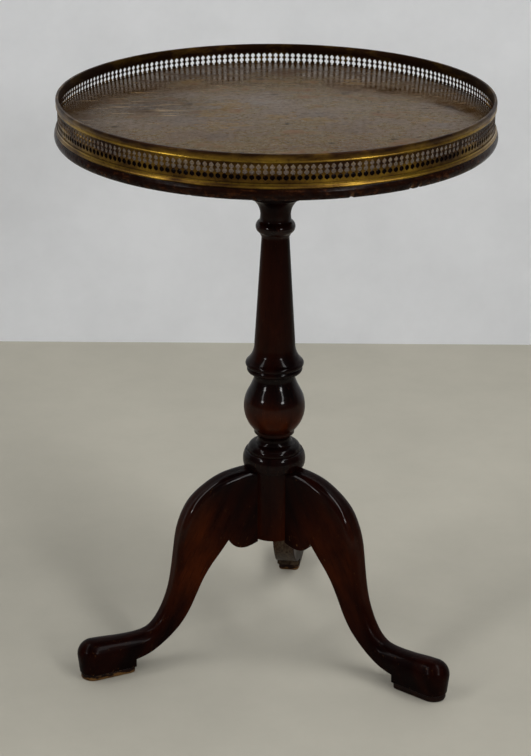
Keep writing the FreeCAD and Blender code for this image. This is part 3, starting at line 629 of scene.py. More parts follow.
def moulding_profile(gallery):
    """Closed section of the base moulding: a ridge over a hollow flare that ends in a thin lip."""
    back = gallery.outer + SOLDER_GAP
    low, high = MOULDING_LOW.z, MOULDING_HIGH.z
    flare, ridge = MOULDING_HIGH.x, back + FOOT_RIDGE
    lip, ridge_foot = low + FOOT_LIP, high - FOOT_RIDGE_HEIGHT
    hollow = ridge + FOOT_HOLLOW * (flare - ridge)
    return profile_points((
        (back, low), (flare, low), (flare, lip), (hollow, (lip + ridge_foot) / 2, ridge, ridge_foot),
        (ridge, high), (back, high),
    ), MOULDING_ARC)


def shine(points, inner, levels):
    """How bright each point of a moulding is, from 0 to 1: on its outer side it follows the
    levels, pairs of height above the foot in millimetres and brightness, and inside the given radius it
    is all tarnished. The brightness is rubbed metal, and on the cap rail also a painted highlight and a
    painted dark reflection."""
    above = (points[:, 2] - points[:, 2].min()) / MM
    return np.interp(above, *np.array(levels).T) * (from_axis(points) > inner)


def pin_points(gallery):
    """Every pin's head as a dome about its own outward axis: rings at rising angles of a quarter circle,
    flattened to the crown's height, with a last ring drawn in to the middle."""
    middle, _ = cell_turns(gallery)
    cells = np.round((np.arange(gallery.pins) + 0.5) * gallery.holes / gallery.pins).astype(int)
    azimuth = middle[cells][:, None, None]
    rise = np.radians(PIN_RISE)[:, None]
    spread = np.linspace(0, 2 * math.pi, PIN_SIDES, endpoint=False)
    across, up = (gallery.pin_radius * np.cos(rise) * part for part in (np.cos(spread), np.sin(spread)))
    out = np.broadcast_to(gallery.pin_crown * np.sin(rise), across.shape).copy()
    out[0] = -PIN_ROOT
    radius = gallery.outer + out
    height = np.broadcast_to(gallery.foot + gallery.pin_height + up, (len(cells), *up.shape))
    return np.stack([radius * np.cos(azimuth) - across * np.sin(azimuth),
                     radius * np.sin(azimuth) + across * np.cos(azimuth), height], 3)


def underside_path(legs):
    """The line that the saw follows under a leg, as (reach, height): a bracket lobe to the cusp, a smooth
    sweep down the underside, a short heel and the flat of the foot. Also gives its three corners."""
    bracket, lobe, cusp = np.array([legs.drum_radius, legs.drum_foot]) + (BRACKET, LOBE, CUSP)
    sweep = np.concatenate([[cusp], LEG_UNDERSIDE * (legs.reach, legs.height), [HEEL]])
    sweep = natural_cubic(sweep, np.linspace(0, len(sweep) - 1, SWEEP_STEPS)[1:])
    ends = np.array([[HEEL[0], legs.pad_height], [legs.reach + TOE_OVERRUN, legs.pad_height]])
    lobe = arc_points(bracket, lobe, cusp, LOBE_ARC)
    path = np.concatenate([[bracket * (0, 1), bracket], lobe, sweep, ends])
    return path, np.stack([cusp, HEEL, ends[0]])


def cross2(a, b):
    """Cross product of plane vectors."""
    return a[..., 0] * b[..., 1] - a[..., 1] * b[..., 0]


def leg_rows(legs):
    """Stations of the leg from the drum to the toe: even steps along the stations, with a row of its own
    where the section's ray meets each corner of the sawn underside. Gives the section's sizes, the back's
    point, the ray's direction, and the ray's length down to the underside."""
    path, corners = underside_path(legs)
    fine = np.linspace(0, len(LEG_STATIONS) - 1, FINE_ROWS)

    def back_and_ray(places):
        values = natural_cubic(LEG_STATIONS, places)
        lean = np.radians(values[:, 2])
        return values, values[:, :2] * (legs.reach, legs.height), -np.stack([np.sin(lean), np.cos(lean)], 1)

    _, back, ray = back_and_ray(fine)
    first = np.interp(legs.drum_radius, back[:, 0], fine)
    extra = []
    for corner in corners:
        side = cross2(ray, corner - back)
        at = np.nonzero((side[:-1] * side[1:] <= 0) & (fine[1:] > first))[0][0]
        extra.append(fine[at] + (fine[at + 1] - fine[at]) * side[at] / (side[at] - side[at + 1]))
    places = np.unique(np.concatenate([np.linspace(first, fine[-1], LEG_ROWS), extra]).round(4))
    values, back, ray = back_and_ray(places)
    step = path[1:] - path[:-1]
    gap = path[None, :-1] - back[:, None]
    scale = cross2(ray[:, None], step[None])
    tiny, slack = 1e-12, 1e-6
    scale = np.where(np.abs(scale) < tiny, tiny, scale)
    along = cross2(gap, step[None]) / scale
    share = cross2(gap, ray[:, None]) / scale
    hit = (share >= -slack) & (share <= 1 + slack) & (along > NEAREST_CUT)
    return values, back, ray, np.where(hit, along, np.inf).min(1)


def leg_points(legs):
    """A leg along +X: each row is the section on one ray, flat along the back, rounded over its upper
    edges, straight down the sides, eased at the lower arris and flat below. The first rows are drawn
    back to the drum's cylinder. After the last station, each half of the section swings a quarter turn
    about the toe's upright middle, and the two meet at the toe."""
    values, back, ray, depth = leg_rows(legs)
    half = (values[:, 4] * legs.thickness / 2)[:, None]
    corner = values[:, 5:6] * half
    low_half = half * values[:, 6:7]
    nominal = values[:, 3:4] * legs.height
    depth = depth[:, None]
    arris = np.minimum(legs.arris, depth / 6)
    foot = half + (low_half - half) * (depth - corner) / (nominal - corner)
    turn = np.radians(np.linspace(0, 90, len(UPPER_EDGE)))
    side = np.array([0.25, 0.5, 0.75])
    bend = np.radians([0, 30, 60, 90])
    across = np.concatenate([
        (half - corner) * (0, 0.5), half - corner + corner * np.sin(turn),
        half + (foot - half) * side, foot - arris * (1 - np.cos(bend)), (foot - arris) * (0.5, 0)], 1)
    below = np.concatenate([
        np.zeros((len(half), 2)), corner * (1 - np.cos(turn)),
        corner + (depth - arris - corner) * side, depth - arris + arris * np.sin(bend),
        np.repeat(depth, 2, 1)], 1)
    reach = back[:, :1] + ray[:, :1] * below
    height = back[:, 1:] + ray[:, 1:] * below
    cope = np.sqrt(legs.drum_radius ** 2 - across ** 2) - legs.drum_radius
    fade = np.clip(1 - (back[:, :1] - legs.drum_radius) / COPE_REACH, 0, 1) ** 2
    reach = reach + (cope - HAIR) * fade
    swing = np.radians(np.linspace(0, 90, TOE_ROWS + 1))[1:, None]
    toe = reach[-1] + across[-1] * np.sin(swing)
    right = np.stack([
        np.concatenate([reach, toe]), np.concatenate([across, across[-1] * np.cos(swing)]),
        np.concatenate([height, np.broadcast_to(height[-1], toe.shape)])], 2)
    return np.concatenate([right, (right * (1, -1, 1))[:, -2:0:-1]], 1)


def dovetail_points(legs):
    """The leg's dovetail: a trapezium, wider at its tip, carried straight up inside the drum, with its
    lower end a hair proud of the drum's foot."""
    tip, root = legs.drum_radius - TAIL_DEPTH, legs.drum_radius - TAIL_INSIDE
    plan = np.array([[tip, TAIL_TIP], [tip, -TAIL_TIP], [root, -TAIL_ROOT], [root, TAIL_ROOT]])
    levels = np.array([legs.drum_foot - TAIL_HANG, legs.height - TAIL_STOP])
    points = np.concatenate([np.broadcast_to(plan, (2, 4, 2)),
                             np.broadcast_to(levels[:, None, None], (2, 4, 1))], 2).reshape(-1, 3)
    return points, np.concatenate([grid_quads(2, 4), [[3, 2, 1, 0], [4, 5, 6, 7]]])


def pad_points(legs):
    """A pad along +X: a tapered oval with straight sides, a round toe and a squared heel, carried up from
    the sole with a bevel below and a small wear round above. Rows hold the oval drawn in by each row's
    inset. The heel is a superellipse: sine and cosine are raised to a power below one."""
    lean = math.asin((legs.pad_toe - legs.pad_heel) / (PAD_TOE_REACH - PAD_HEEL_REACH))
    quarter = math.pi / 2 + lean
    turn = np.concatenate([np.linspace(-quarter, quarter, TOE_COUNT),
                           np.linspace(quarter, 2 * math.pi - quarter, HEEL_COUNT)])
    centre, radius, power = (np.repeat(pair, (TOE_COUNT, HEEL_COUNT)) for pair in (
        (PAD_TOE_REACH, PAD_HEEL_REACH), (legs.pad_toe, legs.pad_heel), (1, HEEL_POWER)))
    levels = PAD_ROWS[:, :1] / 7 * legs.pad_height
    inset = PAD_ROWS[:, 1:] * MM
    wave = SOLE_WAVE * (np.sin(5 * turn + 1) + np.sin(9 * turn + 4)) * (levels < legs.pad_height / 2)
    shrunk = np.maximum(radius - inset - np.where(inset < MM, wave ** 2 / MM + HAIR, 0), 2 * HAIR)
    out, side = (np.sign(part) * np.abs(part) ** power for part in (np.cos(turn), np.sin(turn)))
    return np.stack([centre + shrunk * out, shrunk * side, np.broadcast_to(levels, shrunk.shape)], 2)


# Materials


def add_node(tree, kind, inputs=(), stops=None, out=0, **settings):
    """Adds one shader node and gives one of its outputs, by number or name. Settings are its own fields,
    and stops fill its colour ramp. Inputs go by name, or in the node's own order; each is linked where
    its value is another node's output, and otherwise set."""
    node = tree.nodes.new("ShaderNode" + kind)
    for key, value in settings.items():
        setattr(node, key, value)
    if stops:
        ramp = node.color_ramp.elements
        for element, stop in ((ramp[0], stops[0]), (ramp[-1], stops[-1])):
            element.position, element.color = stop
        for position, shade in stops[1:-1]:
            ramp.new(position).color = shade
    for key, value in inputs.items() if isinstance(inputs, dict) else enumerate(inputs):
        if isinstance(value, bpy.types.NodeSocket):
            tree.links.new(value, node.inputs[key])
        else:
            node.inputs[key].default_value = value
    return node.outputs[out] if len(node.outputs) else None


def grey(level):
    """A neutral colour for the masks in colour ramps."""
    return level, level, level, 1


BLACK = grey(0)
# Sockets of a Mix node for colours: its two colours, and its result.
MIX_A, MIX_B, MIX_COLOUR = 6, 7, 2
# How far a pattern is turned from X: the board's grain, and its scratches.
NO_TURN = 0.0
GRAIN_TURN, SCRATCH_TURN = math.radians(8), math.radians(11)

# Noise patterns of each finish: name, size of a cell in millimetres along, across and through, turn about
# Z, detail and roughness. A finish in GRAINED has patterns that follow each piece's own grain.
PATTERNS = {
    "varnished_mahogany": (
        ("bands", (210, 16, 16), NO_TURN, 4.0, 0.5), ("clouds", (70, 26, 26), NO_TURN, 5.0, 0.6),
        ("pores", (16, 1.2, 1.2), NO_TURN, 2.0, 0.5), ("flecks", (7, 3, 3), NO_TURN, 4.0, 0.7)),
    "worn_polished_mahogany": (
        ("fibre", (80, 4, 4), GRAIN_TURN, 6.0, 0.6), ("mottle", (64, 42, 42), GRAIN_TURN, 8.0, 0.74),
        ("bare", (14, 7, 7), GRAIN_TURN, 8.0, 0.72), ("pits", (11, 4.5, 4.5), GRAIN_TURN, 2.0, 0.5),
        ("scratches", (50, 2.6, 2.6), SCRATCH_TURN, 2.0, 0.5),
        ("specks", (4.5, 4.5, 4.5), GRAIN_TURN, 3.0, 0.6)),
    "tarnished_brass": (
        ("blotches", (38, 38, 14), NO_TURN, 5.0, 0.6), ("specks", (2.6, 2.6, 2.6), NO_TURN, 3.0, 0.65)),
    "scuffed_hardwood": (
        ("fibre", (14, 14, 2), NO_TURN, 5.0, 0.68), ("scuffs", (9, 9, 3), NO_TURN, 5.0, 0.68)),
    "oiled_hardwood": (("fibre", (120, 4, 4), NO_TURN, 6.0, 0.6),),
    "aged_steel": (("spots", (2, 2, 2), NO_TURN, 5.0, 0.6),),
    "matt_paint": (("mottle", (160, 160, 160), NO_TURN, 6.0, 0.65),),
}
GRAINED = ("varnished_mahogany",)


def shared(maker, colours, name=None):
    """The material of a finish, made once and used by every piece that has it: its coordinates, its noise
    patterns, and the shader that its maker builds from them with the given colours."""
    name = name or maker.__name__
    if name in bpy.data.materials:
        return bpy.data.materials[name]
    material = bpy.data.materials.new(name)
    material.use_nodes = True
    material.node_tree.nodes.clear()
    node = functools.partial(add_node, material.node_tree)
    if maker.__name__ in GRAINED:
        place = node("Attribute", out="Vector", attribute_name="grain")
    else:
        place = node("TexCoord", out="Object")
    noise = {}
    for key, cell, turn, detail, rough in PATTERNS[maker.__name__]:
        cells = node("Mapping", {"Vector": place, "Rotation": (0, 0, turn), "Scale": np.array(cell) * MM},
                     vector_type="TEXTURE")
        noise[key] = node("TexNoise", {
            "Vector": cells, "Scale": 1.0, "Detail": detail, "Roughness": rough})
    node("OutputMaterial", (maker(node, noise, colours),))
    return material


def varnished_mahogany(node, noise, finish):
    """Mahogany, sawn or turned, stained red-brown and varnished to a gloss. The varnish gives small sharp
    lights over a nearly black red; the grain shows as long soft bands and short dark pores, the stain is
    rubbed thin in flecks along exposed edges, and the sawn undersides are dull with dust. Pores are drawn
    1.2 mm wide, coarser than real ones, so that they show."""
    worn, under, thin, gloss = (
        node("Attribute", out="Fac", attribute_name=key) for key in ("wear", "under", "thin", "gloss"))
    depth = node("Math", (thin, 0.3, noise["bands"]), operation="MULTIPLY_ADD")
    shade = node("ValToRGB", (depth,), [(0.38, finish.mahogany_dark), (0.78, finish.mahogany_mid)])
    uneven = node("MapRange", (noise["clouds"], 0.32, 0.68, 0.05, 0.75))
    # The thin attribute is thin stain, and also painted light on one side of the shaft and painted shade on
    # the legs near the pillar and on their backs; where it is high the wood is lighter.
    thin_stain_and_light = node("Math", (uneven, thin), operation="MULTIPLY")
    pores = node("ValToRGB", (noise["pores"],), [(0.30, grey(0.5)), (0.42, BLACK)])
    flecks = node("ValToRGB", (noise["flecks"],), [(0.62, BLACK), (0.72, grey(0.8))])
    exposed = node("Math", (worn, 0.09), operation="MAXIMUM")
    rubbed = node("Math", (flecks, exposed), operation="MULTIPLY")
    dust = node("MapRange", (noise["flecks"], 0.36, 0.62, 0.1, 0.9))
    dusty = node("Math", (dust, under), operation="MULTIPLY")
    for mask, layer in ((thin_stain_and_light, finish.mahogany_light), (pores, finish.mahogany_dark),
                        (rubbed, finish.edge_wood), (dusty, finish.dusty_wood)):
        shade = node("Mix", {0: mask, MIX_A: shade, MIX_B: layer}, out=MIX_COLOUR, data_type="RGBA")
    haze = node("MapRange", (noise["clouds"], 0.3, 0.7, 0.26, 0.40))
    bump = node("Bump", {"Height": noise["pores"], "Strength": 0.10, "Distance": 0.3 * MM})
    return node("BsdfPrincipled", {
        "Base Color": shade, "Roughness": haze, "Normal": bump, "IOR": 1.5, "Specular IOR Level": 0.02,
        "Coat Weight": gloss, "Coat Roughness": 0.07, "Coat IOR": 1.45})


def worn_polished_mahogany(node, noise, finish):
    """The board's mahogany, planed and french-polished, now worn by use: a brown sheen that mirrors the
    gallery, grain nearly along X, small dark dents, pale scratches, and patches where the polish has
    gone. The face is darker towards its rim. The edge keeps its red stain, with painted shade in the quirk
    below the brass and behind it. Fibres are drawn 4 mm wide, scratches 2.6 mm and pits 4.5 mm, coarser
    than real ones, so that they show."""
    place = node("TexCoord", out="Object")
    # The second attribute is painted shade in the quirk under the brass, on the ledge and on the rabbet's
    # wall.
    chip, painted_quirk_shade = (node("Attribute", out="Fac", attribute_name=key) for key in ("chip", "quirk_shade"))
    ripple = node("TexNoise", {"Vector": place, "Scale": 1 / RAGGED_CELL}, out="Color")
    ragged = node("VectorMath", (ripple, (RAGGED_REACH,) * 3, place), operation="MULTIPLY_ADD")
    mark = dict.fromkeys(MARKS, 0.0)
    for key, (whole, most, spots) in MARKS.items():
        for x, y, half_length, half_width in spots:
            spot = node("Mapping", {
                "Vector": ragged, "Location": (x * MM, y * MM, 0), "Rotation": (0, 0, GRAIN_TURN),
                "Scale": (half_length * MM, half_width * MM, ANY_HEIGHT)}, vector_type="TEXTURE")
            away = node("VectorMath", (spot,), out="Value", operation="LENGTH")
            inside = node("MapRange", (away, 1.0, whole, 0.0, most))
            mark[key] = node("Math", (mark[key], inside), operation="MAXIMUM")
    # The face is darker towards its rim, outside a round about its middle.
    spread = node("Mapping", {"Vector": ragged, "Location": DARKENING_MIDDLE,
                              "Scale": (DARKENING_RADIUS, DARKENING_RADIUS, ANY_HEIGHT)}, vector_type="TEXTURE")
    from_middle = node("VectorMath", (spread,), out="Value", operation="LENGTH")
    rim_darkening = node("MapRange", (from_middle, 0.66, 0.86))
    darkened = node("Math", (mark["scratched"], rim_darkening), operation="MAXIMUM")
    shade = node("ValToRGB", (noise["mottle"],), [
        (0.36, finish.top_dark), (0.47, finish.top_body), (0.55, finish.top_olive),
        (0.66, finish.top_rosy)])
    line = node("ValToRGB", (noise["fibre"],), [(0.34, grey(0.55)), (0.50, BLACK)])
    bare_share = node("Math", (mark["patch"], 0.13, noise["bare"]), operation="MULTIPLY_ADD")
    bare = node("ValToRGB", (bare_share,), [(0.57, BLACK), (0.72, grey(0.75))])
    pits = node("ValToRGB", (noise["pits"],), [(0.25, grey(0.7)), (0.30, BLACK)])
    dents = node("Math", (mark["dent"], pits), operation="MAXIMUM")
    scratch_share = node("Math", (mark["scratched"], 0.14, noise["scratches"]), operation="MULTIPLY_ADD")
    scratch = node("ValToRGB", (scratch_share,), [(0.71, BLACK), (0.77, grey(0.75))])
    facing = node("SeparateXYZ", (node("NewGeometry", out="Normal"),), out="Z")
    edge = node("MapRange", (facing, 0.6, 0.9, 1.0, 0.0))
    stained = node("ValToRGB", (noise["bare"],), [
        (0.36, finish.edge_dark), (0.54, finish.edge_body), (0.74, finish.edge_light)])
    for mask, layer in ((line, finish.top_dark), (darkened, finish.top_dark), (bare, finish.top_worn),
                        (dents, finish.mahogany_dark), (scratch, finish.scratch), (edge, stained),
                        (chip, finish.edge_wood), (painted_quirk_shade, finish.mahogany_dark)):
        shade = node("Mix", {0: mask, MIX_A: shade, MIX_B: layer}, out=MIX_COLOUR, data_type="RGBA")
    wear = node("Math", (bare, 0.3, noise["mottle"]), operation="MULTIPLY_ADD")
    dull = node("MapRange", (wear, 0.36, 0.70, 0.12, 0.40))
    bump = node("Bump", {"Height": noise["fibre"], "Strength": 0.012, "Distance": 0.3 * MM})
    polish = node("MapRange", (darkened, 0.0, 1.0, 0.135, 0.055))
    for left in ((noise["specks"], 0.3, 0.7, 0.25, 1.75), (dents, 0.0, 1.0, 1.0, 0.2),
                 (scratch, 0.0, 1.0, 1.0, 1.9)):
        polish = node("Math", (polish, node("MapRange", left)), operation="MULTIPLY")
    return node("BsdfPrincipled", {
        "Base Color": shade, "Roughness": dull, "Normal": bump, "IOR": 1.45, "Specular IOR Level": polish})


def tarnished_brass(node, noise, finish):
    """Rolled and pierced brass, never lacquered: brown tarnish in the hollows and on the inner side,
    yellow metal where cloths and hands have rubbed the ridges, in uneven patches with fine spots. On the
    cap rail the ridge also has a painted highlight and the bead a painted dark reflection."""
    rubbed_and_painted_sheen = node("Attribute", out="Fac", attribute_name="rubbed_and_painted_sheen")
    patches = node("MapRange", (noise["blotches"], 0.3, 0.7, -0.38, 0.42))
    # Rubbed brightness, and on the cap rail also a painted highlight and a painted dark reflection.
    bright_share = node("Math", (rubbed_and_painted_sheen, patches), operation="ADD")
    metal = node("ValToRGB", (bright_share,), [
        (0.05, finish.brass_patina), (0.45, finish.brass_body), (0.95, finish.brass_bright)])
    spots = node("ValToRGB", (noise["specks"],), [(0.30, grey(0.65)), (0.44, BLACK)])
    shade = node("Mix", {0: spots, MIX_A: metal, MIX_B: finish.brass_patina}, out=MIX_COLOUR,
                 data_type="RGBA")
    dull = node("MapRange", (bright_share, 0.0, 1.0, 0.50, 0.26))
    bump = node("Bump", {"Height": noise["specks"], "Strength": 0.15, "Distance": 0.2 * MM})
    return node("BsdfPrincipled", {
        "Base Color": shade, "Metallic": 0.9, "Roughness": dull, "Normal": bump})


def scuffed_hardwood(node, noise, finish):
    """Plain hardwood pads, once stained like the legs and now scuffed by floors: dull dark brown above,
    with bare yellow wood in streaks and along the lower rim, more on one pad than on another. Fibres are
    drawn 2 mm wide, coarser than real ones."""
    height = node("SeparateXYZ", (node("TexCoord", out="Object"),), out="Z")
    share = node("MapRange", (height, 5.5 * MM, 1.0 * MM, 0.0, 0.22))
    for more in (node("Attribute", out="Fac", attribute_name="rubbed"), noise["scuffs"]):
        share = node("Math", (share, more), operation="ADD")
    bare = node("ValToRGB", (share,), [(0.54, BLACK), (0.68, grey(0.9))])
    body = node("ValToRGB", (noise["fibre"],), [(0.32, finish.mahogany_dark), (0.66, finish.pad_wood)])
    shade = node("Mix", {0: bare, MIX_A: body, MIX_B: finish.pad_bare}, out=MIX_COLOUR, data_type="RGBA")
    bump = node("Bump", {"Height": noise["scuffs"], "Strength": 0.35, "Distance": 0.5 * MM})
    return node("BsdfPrincipled", {
        "Base Color": shade, "Roughness": 0.5, "Normal": bump, "IOR": 1.45, "Specular IOR Level": 0.12})


def oiled_hardwood(node, noise, finish):
    """Hardwood under the board, planed and only oiled: dull, with nearly straight grain along X. Fibres are
    drawn 4 mm wide, coarser than real ones."""
    fibre = noise["fibre"]
    fibre.node.inputs["Distortion"].default_value = 0.4
    body = node("ValToRGB", (fibre,), [(0.30, finish.mahogany_mid), (0.70, finish.plain_wood)])
    dull = node("MapRange", (fibre, 0.0, 1.0, 0.5, 0.7))
    bump = node("Bump", {"Height": fibre, "Strength": 0.2, "Distance": 0.3 * MM})
    return node("BsdfPrincipled", {"Base Color": body, "Roughness": dull, "Normal": bump, "IOR": 1.45})


def aged_steel(node, noise, finish):
    """Steel wood screws, turned and slotted, grey with age: dull, with brown spots of rust."""
    spots = noise["spots"]
    body = node("ValToRGB", (spots,), [(0.36, finish.brass_patina), (0.50, finish.steel)])
    dull = node("MapRange", (spots, 0.0, 1.0, 0.6, 0.3))
    bump = node("Bump", {"Height": spots, "Strength": 0.2, "Distance": 0.1 * MM})
    return node("BsdfPrincipled", {"Base Color": body, "Metallic": 0.95, "Roughness": dull, "Normal": bump})


def matt_paint(node, noise, shade):
    """Plain matt paint for the floor and the backdrop, very slightly uneven. It is clear from behind, so
    that the table also shows from the back and from below."""
    darker = (*(part * 0.93 for part in shade[:3]), 1)
    body = node("ValToRGB", (noise["mottle"],), [(0.35, darker), (0.65, shade)])
    paint = node("BsdfPrincipled", {"Base Color": body, "Roughness": 0.9, "Specular IOR Level": 0.1})
    return node("MixShader", (node("NewGeometry", out="Backfacing"), paint, node("BsdfTransparent")))


# Operators


class TEATABLE_OT_board(bpy.types.Operator):
    """Turns the round board, with a rabbet for the gallery and a worn, chipped edge"""

    bl_idname = "teatable.board"
    bl_label = "Board"

    def execute(self, context):
        sizes = context.scene.tea_table.board
        profile = softened(board_profile(sizes), BOARD_WEAR)
        points, faces = turned_surface(profile, BOARD_SEGMENTS, False)
        points, chip = chipped(points, sizes)
        # The board carries painted shade in the quirk under the brass and behind it.
        make_piece("board", points, faces, worn_polished_mahogany, ["table_top"],
                   {"chip": chip, "quirk_shade": quirk_shade(points, sizes)})
        return {"FINISHED"}


class TEATABLE_OT_gallery_strip(bpy.types.Operator):
    """Pierces the brass strip and bends it round the board"""

    bl_idname = "teatable.gallery_strip"
    bl_label = "Gallery Strip"

    def execute(self, context):
        points = band_points(context.scene.tea_table.gallery)
        _, cells, rows, _, _ = points.shape
        show = np.zeros(points.shape[:-1])
        show[0] = np.array(STRIP_SHINE)[:, None]
        make_piece("gallery_strip", points.reshape(-1, 3), band_faces(cells, rows), tarnished_brass,
                   ["gallery_pierced_band"], {"rubbed_and_painted_sheen": show.ravel()}, WELD)
        return {"FINISHED"}


class TEATABLE_OT_gallery_mouldings(bpy.types.Operator):
    """Draws the cap rail and the base moulding of the gallery"""

    bl_idname = "teatable.gallery_mouldings"
    bl_label = "Gallery Mouldings"

    def execute(self, context):
        gallery = context.scene.tea_table.gallery
        for name, profile, levels in (("cap_rail", rail_profile(gallery), RAIL_SHINE),
                                      ("base_moulding", moulding_profile(gallery), MOULDING_SHINE)):
            points, faces = turned_surface(softened(profile, MOULDING_WEAR, True), RING_SEGMENTS, True)
            make_piece(name, points, faces, tarnished_brass, ["gallery_" + name],
                       {"rubbed_and_painted_sheen": shine(points, gallery.outer, levels)})
        return {"FINISHED"}


class TEATABLE_OT_gallery_pins(bpy.types.Operator):
    """Drives the round-headed pins that hold the strip to the board"""

    bl_idname = "teatable.gallery_pins"
    bl_label = "Gallery Pins"

    def execute(self, context):
        points = pin_points(context.scene.tea_table.gallery)
        pins, rows, columns, _ = points.shape
        first = np.arange(pins)[:, None] * rows * columns
        faces = (first[:, None] + grid_quads(rows, columns)).reshape(-1, 4)
        back = first + np.arange(columns)[::-1]
        points = points.reshape(-1, 3)
        make_piece("gallery_pins", points, [faces, back], tarnished_brass, ["gallery_pins"],
                   {"rubbed_and_painted_sheen": np.full(len(points), PIN_SHINE)}, WELD / 2)
        return {"FINISHED"}


class TEATABLE_OT_pillar(bpy.types.Operator):
    """Turns the pillar from its drum to its tenon"""

    bl_idname = "teatable.pillar"
    bl_label = "Pillar"

    def execute(self, context):
        profile = softened(profile_points(PILLAR_TURNING, PILLAR_ARC) * MM, PILLAR_WEAR)
        points, faces = turned_surface(profile, PILLAR_SEGMENTS, False)
        height = points[:, 2] / MM
        thin, gloss = (np.interp(height, *np.array(levels).T) for levels in (PILLAR_THIN, PILLAR_GLOSS))
        # Painted light: above SHAFT_FOOT the shaft is painted lighter on one side.
        side = np.cos(np.arctan2(points[:, 1], points[:, 0]) - PAINTED_LIGHT_SIDE)
        make_piece("turned_pillar", points, faces, varnished_mahogany, ["pillar"], {
            "grain": points[:, [2, 0, 1]], "wear": SWELL_WEAR * (from_axis(points) > SWELL_RADIUS),
            "thin": np.where(height > SHAFT_FOOT, thin * (1 + side), thin), "gloss": gloss})
        return {"FINISHED"}


class TEATABLE_OT_legs(bpy.types.Operator):
    """Saws and shapes the three cabriole legs, with their dovetails"""

    bl_idname = "teatable.legs"
    bl_label = "Legs"

    def execute(self, context):
        legs = context.scene.tea_table.legs
        rows = leg_points(legs)
        count, columns, _ = rows.shape
        limb = rows.reshape(-1, 3)
        tail, tail_faces = dovetail_points(legs)
        points = np.concatenate([limb, tail])
        faces = [outward(limb, [grid_quads(count, columns)])[0], tail_faces + len(limb)]
        marks = {key: np.concatenate([np.tile(row + row[-2:0:-1], count), np.zeros(len(tail))])
                 for key, row in LEG_MARKS.items()}
        lean = math.atan2(GRAIN_FALL * legs.height, GRAIN_RUN * legs.reach)
        along = points[:, 0] * math.cos(lean) - points[:, 2] * math.sin(lean)
        through = points[:, 0] * math.sin(lean) + points[:, 2] * math.cos(lean)
        thin, gloss = (
            np.interp(points[:, 2] / legs.height, *np.array(levels).T) for levels in (LEG_THIN, LEG_GLOSS))
        # Painted shade: the leg is painted darker nearer the pillar.
        thin = thin * np.clip(points[:, 0] / legs.reach / LEG_SHADE, LEAST_LIGHT, 1) ** 2
        # Painted shade: the leg's upward back and its rounded upper edges are painted darker.
        thin = thin * (1 - BACK_SHADE * marks["back"])
        gloss = FACE_GLOSS + (gloss - FACE_GLOSS) * marks["crown"]
        for number, (name, (azimuth, rubbed, _)) in enumerate(LEGS.items()):
            further, aside = (step * number for step in BOARD_STEP)
            grain = np.stack([along + further, points[:, 1] + aside, through], 1)
            make_piece("leg_" + name + "_shaped", turned_about(points, azimuth), faces, varnished_mahogany,
                       ["leg_" + name], {
                           "grain": grain, "thin": thin * rubbed, "wear": marks["wear"],
                           "under": marks["under"], "gloss": gloss}, WELD, LEG_SHARP)
        return {"FINISHED"}


class TEATABLE_OT_foot_pads(bpy.types.Operator):
    """Shapes the thin pads under the feet"""

    bl_idname = "teatable.foot_pads"
    bl_label = "Foot Pads"

    def execute(self, context):
        rows = pad_points(context.scene.tea_table.legs)
        count, columns, _ = rows.shape
        number = np.arange(count * columns).reshape(count, columns)
        faces = [grid_quads(count, columns), number[:1, ::-1], number[-1:]]
        for name, (azimuth, _, rubbed) in LEGS.items():
            make_piece("pad_" + name + "_shaped", turned_about(rows.reshape(-1, 3), azimuth), faces,
                       scuffed_hardwood, ["foot_pad_" + name],
                       {"rubbed": np.full(count * columns, rubbed)}, WELD, PAD_SHARP)
        return {"FINISHED"}


class TEATABLE_OT_underframe(bpy.types.Operator):
    """Finishes the plate, its screws and the tenon's wedge, which keep their own shapes"""

    bl_idname = "teatable.underframe"
    bl_label = "Underframe"

    def execute(self, context):
        for node, maker, slot in (("mounting_plate", oiled_hardwood, "inner_wood"),
                                  ("plate_screws", aged_steel, "steel"),
                                  ("tenon_wedge", oiled_hardwood, "inner_wood")):
            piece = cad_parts[node]
            for holder in piece.material_slots:
                holder.material = shared(maker, context.scene.tea_table.finishes)
        return {"FINISHED"}


def lamp_place(start, end):
    """Place of a long lamp between two points: X runs along it, and it is rolled about that line until
    it faces the middle of the table."""
    middle = (start + end) / 2
    along = (end - start) / np.linalg.norm(end - start)
    back = middle - (0, 0, LIT_HEIGHT)
    back = back - along * (back @ along)
    back = back / np.linalg.norm(back)
    turn = Matrix(np.stack([along, np.cross(back, along), back], 1).tolist())
    return Matrix.Translation(middle) @ turn.to_4x4()


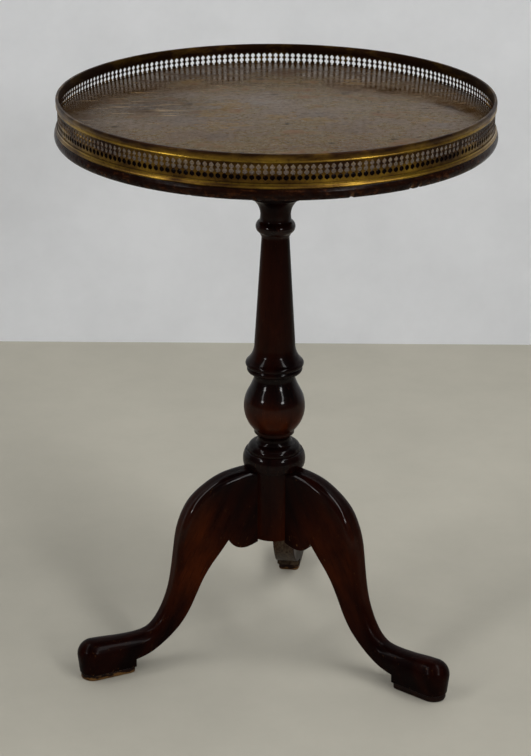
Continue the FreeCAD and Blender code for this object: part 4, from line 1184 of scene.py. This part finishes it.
class TEATABLE_OT_stage(bpy.types.Operator):
    """Sets up the plain floor and backdrop, the soft lamps and the camera"""

    bl_idname = "teatable.stage"
    bl_label = "Stage"

    def execute(self, context):
        scene = context.scene
        stage = scene.tea_table.stage
        heading = Matrix.Rotation(math.radians(HEADING), 4, "Z")
        far = stage.backdrop_distance
        for name, shade, first, last in (
            ("floor", stage.floor, (-STAGE_DEEP, 0), (STAGE_DEEP, 0)),
            ("backdrop", stage.backdrop, (far, 0), (far, STAGE_TALL)),
        ):
            corners = [(side * STAGE_WIDE, *place) for side, place in (
                (-1, first), (1, first), (1, last), (-1, last))]
            mesh = bpy.data.meshes.new(name)
            mesh.from_pydata(corners, [], [(0, 1, 2, 3)])
            mesh.transform(heading)
            mesh.materials.append(shared(matt_paint, tuple(shade), name + "_paint"))
            piece = bpy.data.objects.new(name, mesh)
            scene.collection.objects.link(piece)
        for name, start, end, width, power in LAMPS:
            lamp = bpy.data.lights.new(name, "AREA")
            lamp.shape = "RECTANGLE"
            lamp.size, lamp.size_y = math.dist(start, end), width
            lamp.energy = power
            holder = bpy.data.objects.new(name, lamp)
            holder.matrix_world = heading @ lamp_place(np.array(start), np.array(end))
            scene.collection.objects.link(holder)
        scene.world = bpy.data.worlds.new("studio")
        scene.world.use_nodes = True
        sky = scene.world.node_tree.nodes["Background"].inputs
        sky["Color"].default_value = (1, 1, 1, 1)
        sky["Strength"].default_value = WORLD_LIGHT
        lens = bpy.data.cameras.new("camera")
        lens.sensor_width, lens.lens, lens.shift_x = SENSOR, FOCAL_LENGTH, SIDE_SHIFT
        camera = bpy.data.objects.new("camera", lens)
        tilt = Matrix.Rotation(math.radians(90 - TILT), 4, "X")
        roll = Matrix.Rotation(math.radians(ROLL), 4, "Z")
        place = Matrix.Translation((0, -stage.camera_distance, stage.camera_height))
        camera.matrix_world = heading @ place @ tilt @ roll
        scene.collection.objects.link(camera)
        scene.camera = camera
        scene.view_settings.view_transform = "Standard"
        return {"FINISHED"}


class TEATABLE_PT_panel(bpy.types.Panel):
    """Lists the table's settings and the operators that build its pieces"""

    bl_idname = "TEATABLE_PT_panel"
    bl_label = "Tea Table"
    bl_space_type = "VIEW_3D"
    bl_region_type = "UI"
    bl_category = "Tea Table"

    def draw(self, context):
        table = context.scene.tea_table
        for group in (table.board, table.gallery, table.legs, table.finishes, table.stage):
            box = self.layout.box()
            for name in group.__annotations__:
                box.prop(group, name)
        for operator in OPERATORS:
            self.layout.operator(operator.bl_idname)


OPERATORS = (
    TEATABLE_OT_board, TEATABLE_OT_gallery_strip, TEATABLE_OT_gallery_mouldings,
    TEATABLE_OT_gallery_pins, TEATABLE_OT_pillar, TEATABLE_OT_legs, TEATABLE_OT_foot_pads,
    TEATABLE_OT_underframe, TEATABLE_OT_stage,
)
CLASSES = (
    BoardSizes, GallerySizes, LegSizes, Finishes, StageSettings, TeaTable, *OPERATORS, TEATABLE_PT_panel,
)


def register():
    """Makes the settings, operators and panel known to Blender."""
    for cls in CLASSES:
        bpy.utils.register_class(cls)
    bpy.types.Scene.tea_table = bpy.props.PointerProperty(
        type=TeaTable, name="Tea table", description="Settings of the tea table")


def unregister():
    """Takes them out again."""
    del bpy.types.Scene.tea_table
    for cls in reversed(CLASSES):
        bpy.utils.unregister_class(cls)


def main():
    """Builds every piece in order."""
    register()
    for operator in OPERATORS:
        group, name = operator.bl_idname.split(".")
        getattr(getattr(bpy.ops, group), name)()


if __name__ == "__main__":
    main()
